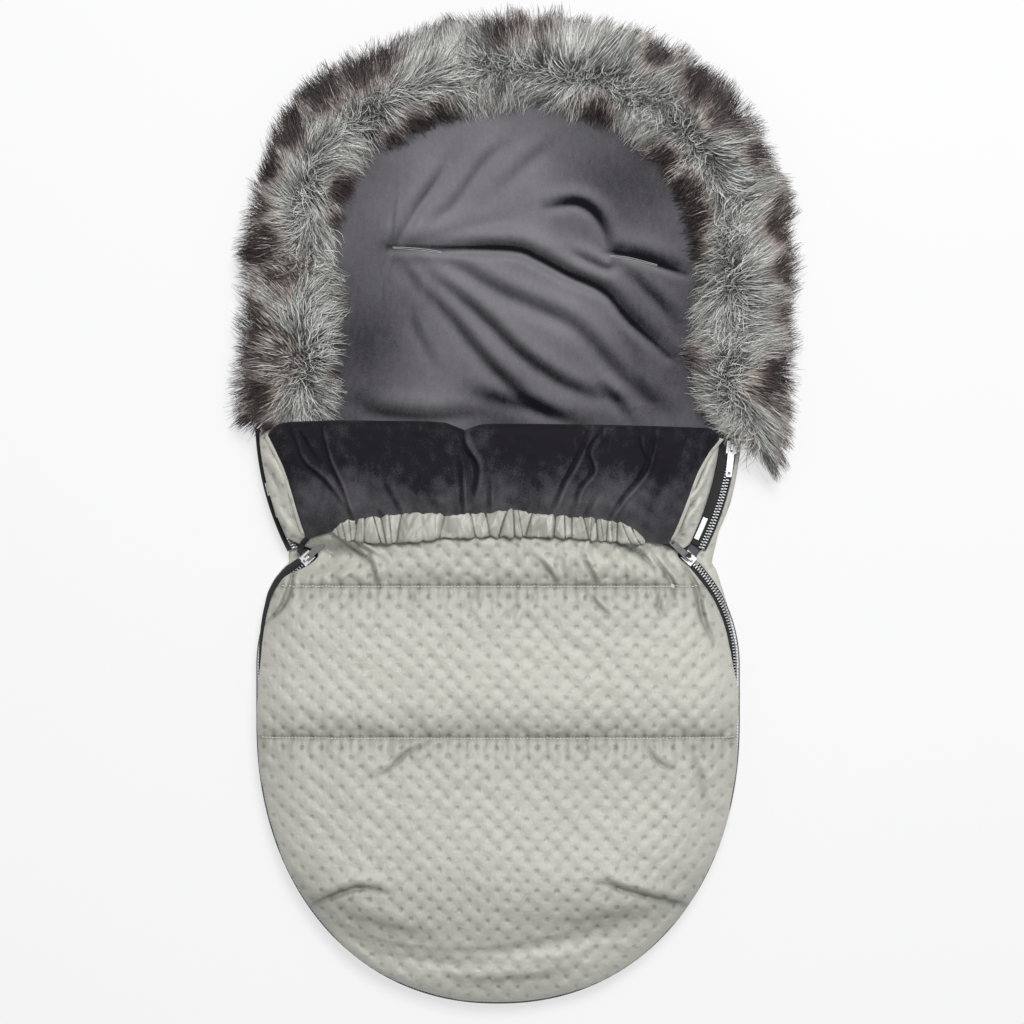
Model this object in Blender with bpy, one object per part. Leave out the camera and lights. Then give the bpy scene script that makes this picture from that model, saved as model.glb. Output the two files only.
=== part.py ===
"""Stroller footmuff, lying open side up on its back, in metres.

A quilted back panel with two harness slits and an arched hood carries a fur trim. A quilted
cover closes over it with a long zip round the foot and a short zip up each side. The top of
the cover folds down as a cuff, which shows its velvet lining and ends in an elastic hem.

+X is to the right seen from above, +Y points to the hood, +Z is up. The origin is on the
underside of the back panel, on the middle line.
"""

import math

import bmesh
import bpy
from mathutils import Matrix, Vector

# The zip line in plan. Every outline of the body follows it.
ZIP_HALF_WIDTH = 0.239
WIDEST_Y = -0.215
TOE_LENGTH = 0.281
TOE_FULLNESS = 2.15
FLANK_TOP_Y = -0.160
WAIST_RADIUS = 0.146
WAIST_TURN = math.radians(50)
UPPER_HALF_WIDTH = 0.236
UPPER_RADIUS = 0.289
UPPER_TOP_Y = 0.090
WAIST_Y = -0.047
FOLD_Y = 0.086

# The hood: an arch on the back panel, set a little to the right.
HOOD_Y = 0.170
SHOULDER_LENGTH = 0.012
HOOD_HALF_WIDTH = 0.226
HOOD_HEIGHT = 0.271
HOOD_SHIFT = 0.018
HOOD_FULLNESS = 2.3

# Cloth, wadding and the clearance between pieces that lie on each other.
GAP = 0.0003
SHELL_SKIN = 0.0012
LINING_SKIN = 0.0010
LEAST_WADDING = 0.0010

# The back panel.
BACK_BORDER = 0.009
BACK_EDGE_HEIGHT = 0.008
BACK_EDGE_REACH = 0.014
BACK_CROWN = 0.005
BACK_CROWN_REACH = 0.100

# Harness slits in the back panel, each with its stitched binding.
SLIT_HALF_LENGTH = 0.025
SLIT_HALF_WIDTH = 0.0026
SLIT_WALL = 0.0012
SLIT_LIP = 0.0042
SLIT_LIP_HEIGHT = 0.0010
SLIT_FOOT_Z = 0.0006
SLIT_CENTRES = {"left": (-0.082, 0.257), "right": (0.148, 0.249)}

# The zips.
ZIP_Z = 0.0182
TAPE_HALF_THICKNESS = 0.00035
TOOTH_PITCH = 0.003
TOOTH_HALF_HEIGHT = 0.0015
TOOTH_ROOT = 0.0040
TOOTH_CORD = 0.0027
TOOTH_TIP = 0.00065
TEETH_IN_LINK = 4
TOOTH_EDGE_SHARES = (0.25, 0.75)
INNER_ROW_SHARE = -0.2
LOWER_BLOCK_PITCH = 0.009
BLOCKS_IN_LINK = 1
FOOT_LINK = 0.026
BACK_TAPE_FLAT = 0.0068
BACK_TAPE_EDGE = 0.0088
BACK_TAPE_FOLD = 0.0011
TAPE_SEAT = 0.003
UPPER_CHAIN_TOP_Y = 0.078
UPPER_CHAIN_FOOT_Y = -0.042
FILM_LENGTH = 0.022
FILM_WIDTH = 0.0050
FILM_THICKNESS = 0.0004
FILM_FOOT_Y = -0.037

# Sliders and their pulls. The sliders ride on the cover's rows of teeth.
SLIDER_LENGTH = 0.0130
SLIDER_PLATE = 0.0014
SLIDER_CLEARANCE = 0.00035
SLIDER_WALL = 0.00145
SLIDER_SLOT = 0.00075
POST_HALF_WIDTH = 0.0003
POST_LENGTH = 0.0040
BRIDGE_HALF_LENGTH = 0.0042
BRIDGE_HALF_WIDTH = 0.0011
BRIDGE_INSIDE = 0.00235
BRIDGE_BAR = 0.0013
BRIDGE_SINK = 0.0003
PULL_LENGTH = 0.030
PULL_WIDTH = 0.0065
PULL_THICKNESS = 0.0014
PULL_EYE_WIDTH = 0.0040
PULL_EYE_LENGTH = 0.0050
PULL_HOLE = 0.0030
PULL_HOLE_MARGIN = 0.0018
UPPER_SLIDER_YS = {"left": 0.018, "right": 0.059}
LOWER_SLIDER_TURN = math.radians(47.5)
PULL_REST = 0.0006

# The cover.
COVER_BORDER = 0.011
UPPER_COVER_BORDER = 0.015
BORDER_STEP = 0.007
ARCH_RISE = 0.026
ARCH_REACH = 0.120
ARCH_FULLNESS = 2.1
COVER_EDGE_THICKNESS = 0.0045
COVER_THICKNESS = 0.012
COVER_EDGE_REACH = 0.050
COVER_HINGE_Z = 0.020
SEAM_YS = (-0.231, -0.080)
CHANNEL_REACH = 0.045
WAIST_DIP_SHARE = 0.9
WAIST_DIP_LENGTH = 0.030
WAIST_DIP_REACH = 0.060
TAIL_WIDTH = 0.006
TAIL_THICKNESS = 0.0008
TAIL_REST = 0.0009
TAIL_ENDS = ((0.158, -0.0435), (0.176, -0.0515))

# The cuff, folded down over the cover, and its gathered hem.
CUFF_FOLD_HALF_WIDTH = 0.214
CUFF_HEM_HALF_WIDTH = 0.160
CUFF_FOOT_Y = -0.009
CUFF_REST = 0.0013
CUFF_FILL = 0.0050
CUFF_EDGE_REACH = 0.030
HEM_WIDTH = 0.028
HEM_HEIGHT = 0.009
HEM_WALL = 0.0012
HEM_SHOULDER = 0.003
GATHER_HEIGHT = 0.0012
GATHER_LENGTH = 0.022
ELASTIC_WIDTH = 0.020
ELASTIC_THICKNESS = 0.0015

# The fur trim round the hood and the band that it is sewn to.
FUR_START_Y = 0.104
FUR_HALF_WIDTH = 0.050
FUR_HEIGHT = 0.056
FUR_REST_Z = 0.0164
FUR_DROP_Z = 0.006
FUR_WRAP = 0.0035
BAND_INNER = 0.034
BAND_OUTER = 0.002
BAND_THICKNESS = 0.0008

# Shares of a pull's length at which it is set clear of the cover under it.
PULL_REST_SHARES = (0.2, 0.4, 0.6, 0.8, 1)

# Shares of half a panel's width at which its columns of points stand.
BACK_COLUMN_SHARES = (0, 0.4, 0.75, 0.93, 0.985, 1)
COVER_COLUMN_SHARES = (0, 0.3, 0.58, 0.78, 0.9, 0.965, 1)
CUFF_COLUMN_SHARES = (0, 0.2, 0.4, 0.6, 0.76, 0.87, 0.94, 1)
SEAM_ROW_SHARES = (0, 0.08, 0.3, 1)
CUFF_ROW_SHARES = (0, 0.2, 0.45, 0.7, 1)
# The fur's section: across the trim in half widths, and up in its height.
FUR_TOP_SHARES = ((-1, 0.33), (-0.8, 0.68), (-0.3, 0.96), (0.25, 0.98), (0.7, 0.8), (1, 0.42))
FUR_END_SHARE = 0.6

TOE_ROWS = 7
HOOD_ROWS = 8
END_TURN = math.radians(88)
STADIUM_STEPS = 6
FUR_ARCH_STEPS = 26
FINE_STEPS = 60
SHARP_ANGLE = math.radians(35)

PALETTE = {
    "quilt": ((0.52, 0.52, 0.46), 0.55, 0.0),
    "velvet": ((0.10, 0.10, 0.11), 0.9, 0.0),
    "wadding": ((0.85, 0.85, 0.83), 0.95, 0.0),
    "fur": ((0.42, 0.43, 0.38), 0.85, 0.0),
    "tape": ((0.02, 0.02, 0.02), 0.8, 0.0),
    "metal": ((0.72, 0.72, 0.74), 0.28, 1.0),
    "hem": ((0.55, 0.55, 0.49), 0.45, 0.0),
    "elastic": ((0.80, 0.80, 0.78), 0.8, 0.0),
    "film": ((0.85, 0.86, 0.88), 0.3, 0.0),
    "thread": ((0.30, 0.30, 0.31), 0.8, 0.0),
}
SIDES = {"left": -1, "right": 1}
# Names of the small trim that is sewn to the cover.
COVER_TRIM = ("tape_tail", "zip_end_film")


def clear_scene():
    for thing in list(bpy.data.objects):
        bpy.data.objects.remove(thing, do_unlink=True)


def dress(thing, finish):
    """Gives one sub-part its own Principled material, from the palette."""
    colour, roughness, metallic = PALETTE[finish]
    material = bpy.data.materials.new(thing.name)
    material.use_nodes = True
    shader = material.node_tree.nodes["Principled BSDF"]
    shader.inputs["Base Color"].default_value = (*colour, 1)
    shader.inputs["Roughness"].default_value = roughness
    shader.inputs["Metallic"].default_value = metallic
    thing.data.materials.clear()
    thing.data.materials.append(material)


def add_piece(name, mesh, finish):
    """Puts a mesh in the scene as the sub-part called name."""
    thing = bpy.data.objects.new(name, mesh)
    bpy.context.scene.collection.objects.link(thing)
    dress(thing, finish)
    return thing


def mesh_from(name, points, faces, smooth=True):
    """A closed mesh whose faces all point out."""
    form = bmesh.new()
    corners = [form.verts.new(point) for point in points]
    for face in faces:
        form.faces.new([corners[index] for index in face])
    bmesh.ops.recalc_face_normals(form, faces=form.faces)
    mesh = bpy.data.meshes.new(name)
    form.to_mesh(mesh)
    form.free()
    if smooth:
        mesh.shade_smooth()
        mesh.set_sharp_from_angle(angle=SHARP_ANGLE)
    return mesh


def hide_as_tool(thing):
    thing.hide_render = True
    thing.display_type = "WIRE"


def waist_arc(y):
    """Half the width between the lower zips where they turn in at the waist."""
    rise = min(max(y - FLANK_TOP_Y, 0), WAIST_RADIUS)
    return ZIP_HALF_WIDTH - WAIST_RADIUS + math.sqrt(WAIST_RADIUS**2 - rise**2)


def upper_arc(y):
    """Half the width between the upper zips."""
    drop = min(UPPER_TOP_Y - y, UPPER_RADIUS)
    return UPPER_HALF_WIDTH - UPPER_RADIUS + math.sqrt(UPPER_RADIUS**2 - drop**2)


def toe_half(y, inset):
    """Half the width of the rounded foot, inset inside the zip line."""
    share = min((WIDEST_Y - y) / (TOE_LENGTH - inset), 1)
    return (ZIP_HALF_WIDTH - inset) * (1 - share**TOE_FULLNESS) ** (1 / TOE_FULLNESS)


def ease(share):
    """0 to 1 with level ends."""
    share = min(max(share, 0), 1)
    return share * share * (3 - 2 * share)


def toe_rows(inset):
    """Places along the middle line for the rounded foot, from its end to its widest."""
    depth = TOE_LENGTH - inset
    turns = [END_TURN * (1 - step / TOE_ROWS) for step in range(TOE_ROWS)]
    return [WIDEST_Y - depth * math.sin(turn) for turn in turns]


def slab(name, rows, shares, edge, under, over, finish):
    """A closed sheet between two height fields.

    rows are places along Y, edge gives the left and right ends of a row, and shares place
    the columns between the middle and each end. under and over give the heights.
    """
    columns = [-share for share in reversed(shares[1:])] + list(shares)
    points = []
    for height in (under, over):
        for y in rows:
            left, right = edge(y)
            middle = (left + right) / 2
            half = (right - left) / 2
            for share in columns:
                x = middle + share * half
                points.append((x, y, height(x, y)))
    wide = len(columns)
    deep = len(rows)

    def at(layer, row, column):
        return (layer * deep + row) * wide + column

    faces = []
    for layer in (0, 1):
        for row in range(deep - 1):
            for column in range(wide - 1):
                faces.append(
                    (
                        at(layer, row, column),
                        at(layer, row, column + 1),
                        at(layer, row + 1, column + 1),
                        at(layer, row + 1, column),
                    )
                )
    for row in range(deep - 1):
        for column in (0, wide - 1):
            faces.append(
                (at(0, row, column), at(0, row + 1, column), at(1, row + 1, column), at(1, row, column))
            )
    for column in range(wide - 1):
        for row in (0, deep - 1):
            faces.append(
                (at(0, row, column), at(0, row, column + 1), at(1, row, column + 1), at(1, row, column))
            )
    return add_piece(name, mesh_from(name, points, faces), finish)


def tube_faces(rings, around, closed_path):
    """Faces of a section carried through rings of points."""
    faces = []
    steps = rings if closed_path else rings - 1
    for ring in range(steps):
        after = (ring + 1) % rings
        for side in range(around):
            beside = (side + 1) % around
            first, second = ring * around, after * around
            faces.append((first + side, first + beside, second + beside, second + side))
    if not closed_path:
        faces.append(tuple(range(around)))
        faces.append(tuple((rings - 1) * around + side for side in range(around)))
    return faces


def swept(name, stations, section, finish, closed_path=False):
    """A section of (outward, height) points carried along stations.

    A station is a point and its outward direction. section may also be a function of the
    station's number that gives the points there.
    """
    pick = section if callable(section) else lambda number: section
    points = []
    for number, (place, outward) in enumerate(stations):
        for across, height in pick(number):
            points.append((place.x + outward.x * across, place.y + outward.y * across, height))
    faces = tube_faces(len(stations), len(pick(0)), closed_path)
    return add_piece(name, mesh_from(name, points, faces), finish)


# The back panel


def back_shift(y):
    """How far the panel's middle lies to the right at y."""
    return HOOD_SHIFT * ease((y - UPPER_TOP_Y) / SHOULDER_LENGTH)


def back_half(y):
    """Half the width of the back panel."""
    if y < WIDEST_Y:
        return toe_half(y, -BACK_BORDER)
    if y < UPPER_TOP_Y:
        return max(waist_arc(y), upper_arc(y)) + BACK_BORDER
    if y < HOOD_Y:
        wide = UPPER_HALF_WIDTH + BACK_BORDER
        return wide + (HOOD_HALF_WIDTH - wide) * ease((y - UPPER_TOP_Y) / SHOULDER_LENGTH)
    share = min((y - HOOD_Y) / HOOD_HEIGHT, 1)
    return HOOD_HALF_WIDTH * (1 - share**HOOD_FULLNESS) ** (1 / HOOD_FULLNESS)


def back_edge(y):
    return back_shift(y) - back_half(y), back_shift(y) + back_half(y)


def back_depth(x, y):
    """How far a place on the back panel lies inside its edge."""
    across = abs(x - back_shift(y))
    if y < WIDEST_Y:
        wide, long, full = ZIP_HALF_WIDTH + BACK_BORDER, TOE_LENGTH + BACK_BORDER, TOE_FULLNESS
        along = WIDEST_Y - y
    elif y > HOOD_Y:
        wide, long, full = HOOD_HALF_WIDTH, HOOD_HEIGHT, HOOD_FULLNESS
        along = y - HOOD_Y
    else:
        return max(back_half(y) - across, 0)
    reach = ((across / wide) ** full + (along / long) ** full) ** (1 / full)
    return max((1 - reach) * wide, 0)


def back_underside(x, y):
    """The shell's underside: flat on the ground, rounded up to the seam at the edge."""
    inward = 1 - min(back_depth(x, y) / BACK_EDGE_REACH, 1)
    return BACK_EDGE_HEIGHT * (1 - math.sqrt(1 - inward**2))


def back_crown(x, y):
    """How far the padding rises inside the edge."""
    inward = 1 - min(back_depth(x, y) / BACK_CROWN_REACH, 1)
    return BACK_CROWN * (1 - inward**2)


def back_rows():
    """Places along the middle line for the back panel's rows of points."""
    flank = (WIDEST_Y + FLANK_TOP_Y) / 2
    waist = [FLANK_TOP_Y + (WAIST_Y - FLANK_TOP_Y) * step / 3 for step in range(3)]
    upper = [WAIST_Y + (UPPER_TOP_Y - WAIST_Y) * step / 3 for step in range(4)]
    neck = [UPPER_TOP_Y + SHOULDER_LENGTH / 2, UPPER_TOP_Y + SHOULDER_LENGTH, HOOD_Y]
    turns = [END_TURN * step / HOOD_ROWS for step in range(1, HOOD_ROWS + 1)]
    hood = [HOOD_Y + HOOD_HEIGHT * math.sin(turn) for turn in turns]
    return toe_rows(-BACK_BORDER) + [flank] + waist + upper + neck + hood


def shell_inside(x, y):
    return back_underside(x, y) + SHELL_SKIN


def wadding_underside(x, y):
    return shell_inside(x, y) + GAP


def back_seam_height():
    """Height of the wadding's top at the panel's edge."""
    return BACK_EDGE_HEIGHT + SHELL_SKIN + GAP + LEAST_WADDING


def wadding_top(x, y):
    return back_seam_height() + back_crown(x, y)


def lining_underside(x, y):
    return wadding_top(x, y) + GAP


def lining_top(x, y):
    return lining_underside(x, y) + LINING_SKIN


def stadium(half_length, radius):
    """Stations round a long hole with round ends, with their outward directions."""
    stations = []
    straight = half_length - radius
    for end in (1, -1):
        for step in range(STADIUM_STEPS + 1):
            turn = math.pi * (step / STADIUM_STEPS - 0.5)
            outward = Vector((math.cos(turn) * end, math.sin(turn) * end, 0))
            stations.append((Vector((straight * end, 0, 0)) + outward * radius, outward))
    return stations


def slit_cutter():
    """The tool that cuts both harness slits through the layers of the back."""
    points = []
    faces = []
    clear = SLIT_WALL + GAP
    top = lining_top(0, 0) + SLIT_LIP_HEIGHT
    for centre in SLIT_CENTRES.values():
        start = len(points)
        ring = stadium(SLIT_HALF_LENGTH + clear, SLIT_HALF_WIDTH + clear)
        for height in (-SLIT_LIP_HEIGHT, top):
            for place, _ in ring:
                points.append((centre[0] + place.x, centre[1] + place.y, height))
        count = len(ring)
        faces.append(tuple(start + index for index in range(count)))
        faces.append(tuple(start + count + index for index in range(count)))
        for index in range(count):
            beside = (index + 1) % count
            faces.append((start + index, start + beside, start + count + beside, start + count + index))
    cutter = add_piece("slit_cutter", mesh_from("slit_cutter", points, faces, False), "thread")
    hide_as_tool(cutter)
    return cutter


def slit_bindings():
    """Stitched edging through each slit, with a lip on the lining."""
    lip_foot = lining_top(0, 0) + GAP
    lip_top = lip_foot + SLIT_LIP_HEIGHT
    section = (
        (0, SLIT_FOOT_Z),
        (SLIT_WALL, SLIT_FOOT_Z),
        (SLIT_WALL, lip_foot),
        (SLIT_LIP, lip_foot),
        (SLIT_LIP, lip_top),
        (0, lip_top),
    )
    for side, centre in SLIT_CENTRES.items():
        stations = stadium(SLIT_HALF_LENGTH, SLIT_HALF_WIDTH)
        moved = [(place + Vector((*centre, 0)), outward) for place, outward in stations]
        swept(f"slit_binding_{side}", moved, section, "thread", closed_path=True)


def back_panel():
    """Quilted shell, wadding and velvet lining of the back, slit for the harness."""
    rows = back_rows()
    layers = (
        ("back_shell", back_underside, shell_inside, "quilt"),
        ("back_wadding", wadding_underside, wadding_top, "wadding"),
        ("back_lining", lining_underside, lining_top, "velvet"),
    )
    cutter = slit_cutter()
    for name, under, over, finish in layers:
        layer = slab(name, rows, BACK_COLUMN_SHARES, back_edge, under, over, finish)
        cut = layer.modifiers.new("harness_slits", "BOOLEAN")
        cut.operation = "DIFFERENCE"
        cut.object = cutter
    slit_bindings()


# The fur trim round the hood


def hood_stations():
    """Points on the hood's edge from the left arm over the top to the right arm."""
    right = []
    for step in range(2):
        y = FUR_START_Y + (HOOD_Y - FUR_START_Y) * step / 2
        right.append((y, back_half(y), back_shift(y)))
    for step in range(FUR_ARCH_STEPS // 2 + 1):
        turn = math.pi * step / FUR_ARCH_STEPS
        wide = HOOD_HALF_WIDTH * math.cos(turn) ** (2 / HOOD_FULLNESS) if turn < END_TURN else 0
        y = HOOD_Y + HOOD_HEIGHT * math.sin(turn) ** (2 / HOOD_FULLNESS)
        right.append((y, wide, HOOD_SHIFT))
    left = [(y, -wide, shift) for y, wide, shift in right[:-1]]
    places = [Vector((shift + wide, y, 0)) for y, wide, shift in left + right[::-1]]
    stations = with_outward(places, Vector((HOOD_SHIFT, HOOD_Y, 0)))
    stations[0] = (places[0], Vector((-1, 0, 0)))
    stations[-1] = (places[-1], Vector((1, 0, 0)))
    return stations


def with_outward(places, inside):
    """Each place with the level direction square to the path, away from inside."""
    stations = []
    for index, place in enumerate(places):
        along = places[min(index + 1, len(places) - 1)] - places[max(index - 1, 0)]
        outward = Vector((-along.y, along.x, 0)).normalized()
        if outward.dot(place - inside) < 0:
            outward = -outward
        stations.append((place, outward))
    return stations


def fur_trim():
    """The pile, folded over the hood's edge, and the woven band under it."""
    stations = hood_stations()
    last = len(stations) - 1

    def pile(number):
        low = FUR_END_SHARE if number in (0, last) else 1
        rise = FUR_HEIGHT * low
        top = [(share * FUR_HALF_WIDTH, max(rise * up, FUR_REST_Z + GAP)) for share, up in FUR_TOP_SHARES]
        outer_foot = (FUR_HALF_WIDTH * FUR_TOP_SHARES[-2][0], FUR_DROP_Z)
        wrap = ((FUR_WRAP + GAP, FUR_DROP_Z), (FUR_WRAP, FUR_REST_Z))
        inner_foot = (-FUR_HALF_WIDTH * FUR_TOP_SHARES[-2][0], FUR_REST_Z)
        return [*top, outer_foot, *wrap, inner_foot]

    swept("fur_trim", stations, pile, "fur")

    def crown_at(depth):
        inward = 1 - min(depth / BACK_CROWN_REACH, 1)
        return back_seam_height() + GAP + LINING_SKIN + GAP + BACK_CROWN * (1 - inward**2)

    inner, outer = crown_at(BAND_INNER), crown_at(BAND_OUTER)
    section = (
        (-BAND_INNER, inner),
        (-BAND_OUTER, outer),
        (-BAND_OUTER, outer + BAND_THICKNESS),
        (-BAND_INNER, inner + BAND_THICKNESS),
    )
    swept("fur_band", stations, section, "thread")


# The cover


def cover_border(y):
    """How far the cover's edge lies inside the zip line."""
    return COVER_BORDER + (UPPER_COVER_BORDER - COVER_BORDER) * ease((y - WAIST_Y) / BORDER_STEP)


def cover_half(y):
    """Half the width of the cover."""
    if y < WIDEST_Y:
        return toe_half(y, COVER_BORDER)
    if y <= WAIST_Y:
        return waist_arc(y) - COVER_BORDER
    wide = upper_arc(y) - UPPER_COVER_BORDER
    narrow = waist_arc(WAIST_Y) - COVER_BORDER
    return narrow + (wide - narrow) * ease((y - WAIST_Y) / BORDER_STEP)


def cover_edge(y):
    return -cover_half(y), cover_half(y)


def cover_depth(x, y):
    """How far a place on the cover lies inside its sewn edge."""
    if y >= WIDEST_Y:
        return max(cover_half(y) - abs(x), 0)
    wide, long = ZIP_HALF_WIDTH - COVER_BORDER, TOE_LENGTH - COVER_BORDER
    reach = (abs(x) / wide) ** TOE_FULLNESS + ((WIDEST_Y - y) / long) ** TOE_FULLNESS
    return max((1 - reach ** (1 / TOE_FULLNESS)) * wide, 0)


def waist_pinch(x, y):
    """What the drawn-in waist leaves of the cover's rise: 1 away from it."""
    near = max(1 - ((y - WAIST_Y) / WAIST_DIP_LENGTH) ** 2, 0)
    beside = max(1 - cover_depth(x, y) / WAIST_DIP_REACH, 0)
    return 1 - WAIST_DIP_SHARE * near * beside


def channel_fill(y):
    """0 on a stitched line, 1 where the wadding is full."""
    away = min(abs(y - seam) for seam in SEAM_YS)
    return math.sqrt(1 - (1 - min(away / CHANNEL_REACH, 1)) ** 2)


def cover_underside(x, y):
    """The pouch's ceiling: an arch over the body that closes down at the foot."""
    inward = 1 - min(cover_depth(x, y) / ARCH_REACH, 1)
    arch = (1 - inward**ARCH_FULLNESS) ** (1 / ARCH_FULLNESS)
    return ZIP_Z + TAPE_HALF_THICKNESS + GAP + ARCH_RISE * arch * waist_pinch(x, y)


def cover_top(x, y):
    """The quilted outside, drawn down at the stitched lines and at the edge."""
    inward = 1 - min(cover_depth(x, y) / COVER_EDGE_REACH, 1)
    fill = (1 - inward**2) * channel_fill(y) * waist_pinch(x, y)
    thick = COVER_EDGE_THICKNESS + (COVER_THICKNESS - COVER_EDGE_THICKNESS) * fill
    return cover_underside(x, y) + thick


def cover_rows():
    """Places along the middle line for the cover's rows, close together at the seams."""
    seams = []
    for seam in SEAM_YS:
        for share in SEAM_ROW_SHARES:
            seams += [seam - share * CHANNEL_REACH, seam + share * CHANNEL_REACH]
    toe = [y for y in toe_rows(COVER_BORDER) if y < min(seams) - CHANNEL_REACH * SEAM_ROW_SHARES[1]]
    above = max(seams)
    notch = [WAIST_Y - BORDER_STEP, WAIST_Y, WAIST_Y + BORDER_STEP]
    upper = [WAIST_Y + (FOLD_Y - WAIST_Y) * step / 3 for step in (1, 2, 3)]
    body = [y for y in seams if y <= above]
    return sorted(set(toe + body + notch + upper + [(SEAM_YS[0] + SEAM_YS[1]) / 2]))


def cover_layers():
    """Velvet lining, wadding and quilted shell of the front cover."""
    rows = cover_rows()

    def lining_over(x, y):
        return cover_underside(x, y) + LINING_SKIN

    def wadding_under(x, y):
        return lining_over(x, y) + GAP

    def wadding_over(x, y):
        return shell_under(x, y) - GAP

    def shell_under(x, y):
        return cover_top(x, y) - SHELL_SKIN

    layers = (
        ("cover_lining", cover_underside, lining_over, "velvet"),
        ("cover_wadding", wadding_under, wadding_over, "wadding"),
        ("cover_shell", shell_under, cover_top, "quilt"),
    )
    for name, under, over, finish in layers:
        slab(name, rows, COVER_COLUMN_SHARES, cover_edge, under, over, finish)


# The cuff


def cuff_half(y):
    """Half the width of the folded-down cuff, which the elastic narrows."""
    share = (FOLD_Y - y) / (FOLD_Y - CUFF_FOOT_Y + HEM_WIDTH)
    return CUFF_FOLD_HALF_WIDTH + (CUFF_HEM_HALF_WIDTH - CUFF_FOLD_HALF_WIDTH) * share


def cuff_edge(y):
    return -cuff_half(y), cuff_half(y)


def cuff_rest(x, y):
    """The cuff's face that lies on the cover."""
    return cover_top(x, y) + CUFF_REST


def cuff_layers():
    """Quilted shell, wadding and velvet lining of the cuff, upside down on the cover."""
    rows = [CUFF_FOOT_Y + (FOLD_Y - CUFF_FOOT_Y) * share for share in CUFF_ROW_SHARES]

    def shell_over(x, y):
        return cuff_rest(x, y) + SHELL_SKIN

    def wadding_under(x, y):
        return shell_over(x, y) + GAP

    def wadding_over(x, y):
        inward = 1 - min(max(cuff_half(y) - abs(x), 0) / CUFF_EDGE_REACH, 1)
        return wadding_under(x, y) + LEAST_WADDING + (CUFF_FILL - LEAST_WADDING) * (1 - inward**2)

    def lining_under(x, y):
        return wadding_over(x, y) + GAP

    def lining_over(x, y):
        return lining_under(x, y) + LINING_SKIN

    layers = (
        ("cuff_shell", cuff_rest, shell_over, "quilt"),
        ("cuff_wadding", wadding_under, wadding_over, "wadding"),
        ("cuff_lining", lining_under, lining_over, "velvet"),
    )
    for name, under, over, finish in layers:
        slab(name, rows, CUFF_COLUMN_SHARES, cuff_edge, under, over, finish)


def hem_gathers():
    """Half the hem's length and the number of half gathers along it."""
    half = cuff_half(CUFF_FOOT_Y - GAP - HEM_WIDTH)
    return half, 2 * round(2 * half / GATHER_LENGTH)


def hem_tube():
    """The gathered satin hem: a flat tube across the cuff's end, open at both ends."""
    top_y = CUFF_FOOT_Y - GAP
    foot_y = top_y - HEM_WIDTH
    half, count = hem_gathers()
    points = []
    for number in range(count + 1):
        x = half * (2 * number / count - 1)
        gather = GATHER_HEIGHT if number % 2 else 0
        roof = HEM_HEIGHT - gather
        outer = (
            (top_y, 0),
            (top_y, roof - HEM_SHOULDER),
            (top_y - HEM_SHOULDER, roof),
            (foot_y + HEM_SHOULDER, roof),
            (foot_y, roof - HEM_SHOULDER),
            (foot_y, 0),
        )
        inner = (
            (top_y - HEM_WALL, HEM_WALL),
            (top_y - HEM_WALL, roof - HEM_SHOULDER - HEM_WALL),
            (top_y - HEM_SHOULDER - HEM_WALL, roof - HEM_WALL),
            (foot_y + HEM_SHOULDER + HEM_WALL, roof - HEM_WALL),
            (foot_y + HEM_WALL, roof - HEM_SHOULDER - HEM_WALL),
            (foot_y + HEM_WALL, HEM_WALL),
        )
        for y, height in outer + inner:
            points.append((x, y, cuff_rest(x, y) + height))
    around = len(outer)
    ring = 2 * around
    faces = []
    for number in range(count):
        for side in range(around):
            beside = (side + 1) % around
            for start in (0, around):
                faces.append(
                    (
                        number * ring + start + side,
                        number * ring + start + beside,
                        (number + 1) * ring + start + beside,
                        (number + 1) * ring + start + side,
                    )
                )
    for end in (0, count):
        for side in range(around):
            beside = (side + 1) % around
            first = end * ring
            faces.append((first + side, first + beside, first + around + beside, first + around + side))
    add_piece("cuff_hem", mesh_from("cuff_hem", points, faces), "hem")


def hem_elastic():
    """The elastic band that lies inside the hem."""
    middle = CUFF_FOOT_Y - GAP - HEM_WIDTH / 2
    rows = [middle - ELASTIC_WIDTH / 2, middle, middle + ELASTIC_WIDTH / 2]
    hem_half, count = hem_gathers()
    half = hem_half - HEM_WALL
    shares = [2 * step / count for step in range(count // 2 + 1)]

    def under(x, y):
        return cuff_rest(x, y) + HEM_WALL + HEM_WALL / 2

    def over(x, y):
        return under(x, y) + ELASTIC_THICKNESS

    slab("cuff_elastic", rows, shares, lambda y: (-half, half), under, over, "elastic")


# The zips


def arc_place(side, centre_x, centre_y, radius, turn):
    """A point on an arc of the zip line and its outward direction."""
    outward = Vector((side * math.cos(turn), math.sin(turn), 0))
    centre = Vector((side * centre_x, centre_y, 0))
    return centre + outward * radius, outward


def upper_place(side, y):
    """A point on one upper zip and its outward direction."""
    turn = math.asin((y - UPPER_TOP_Y) / UPPER_RADIUS)
    return arc_place(side, UPPER_HALF_WIDTH - UPPER_RADIUS, UPPER_TOP_Y, UPPER_RADIUS, turn)


def waist_place(side, turn):
    """A point on one end of the lower zip, where it turns in, and its outward direction."""
    return arc_place(side, ZIP_HALF_WIDTH - WAIST_RADIUS, FLANK_TOP_Y, WAIST_RADIUS, turn)


def upper_stations(side, low_y, high_y):
    """Link ends up one upper zip, each link a whole number of teeth long."""
    low = math.asin((low_y - UPPER_TOP_Y) / UPPER_RADIUS)
    high = math.asin((high_y - UPPER_TOP_Y) / UPPER_RADIUS)
    links = max(round((high - low) * UPPER_RADIUS / (TOOTH_PITCH * TEETH_IN_LINK)), 1)
    turns = [low + (high - low) * link / links for link in range(links + 1)]
    middle = UPPER_HALF_WIDTH - UPPER_RADIUS
    return [arc_place(side, middle, UPPER_TOP_Y, UPPER_RADIUS, turn) for turn in turns]


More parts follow.
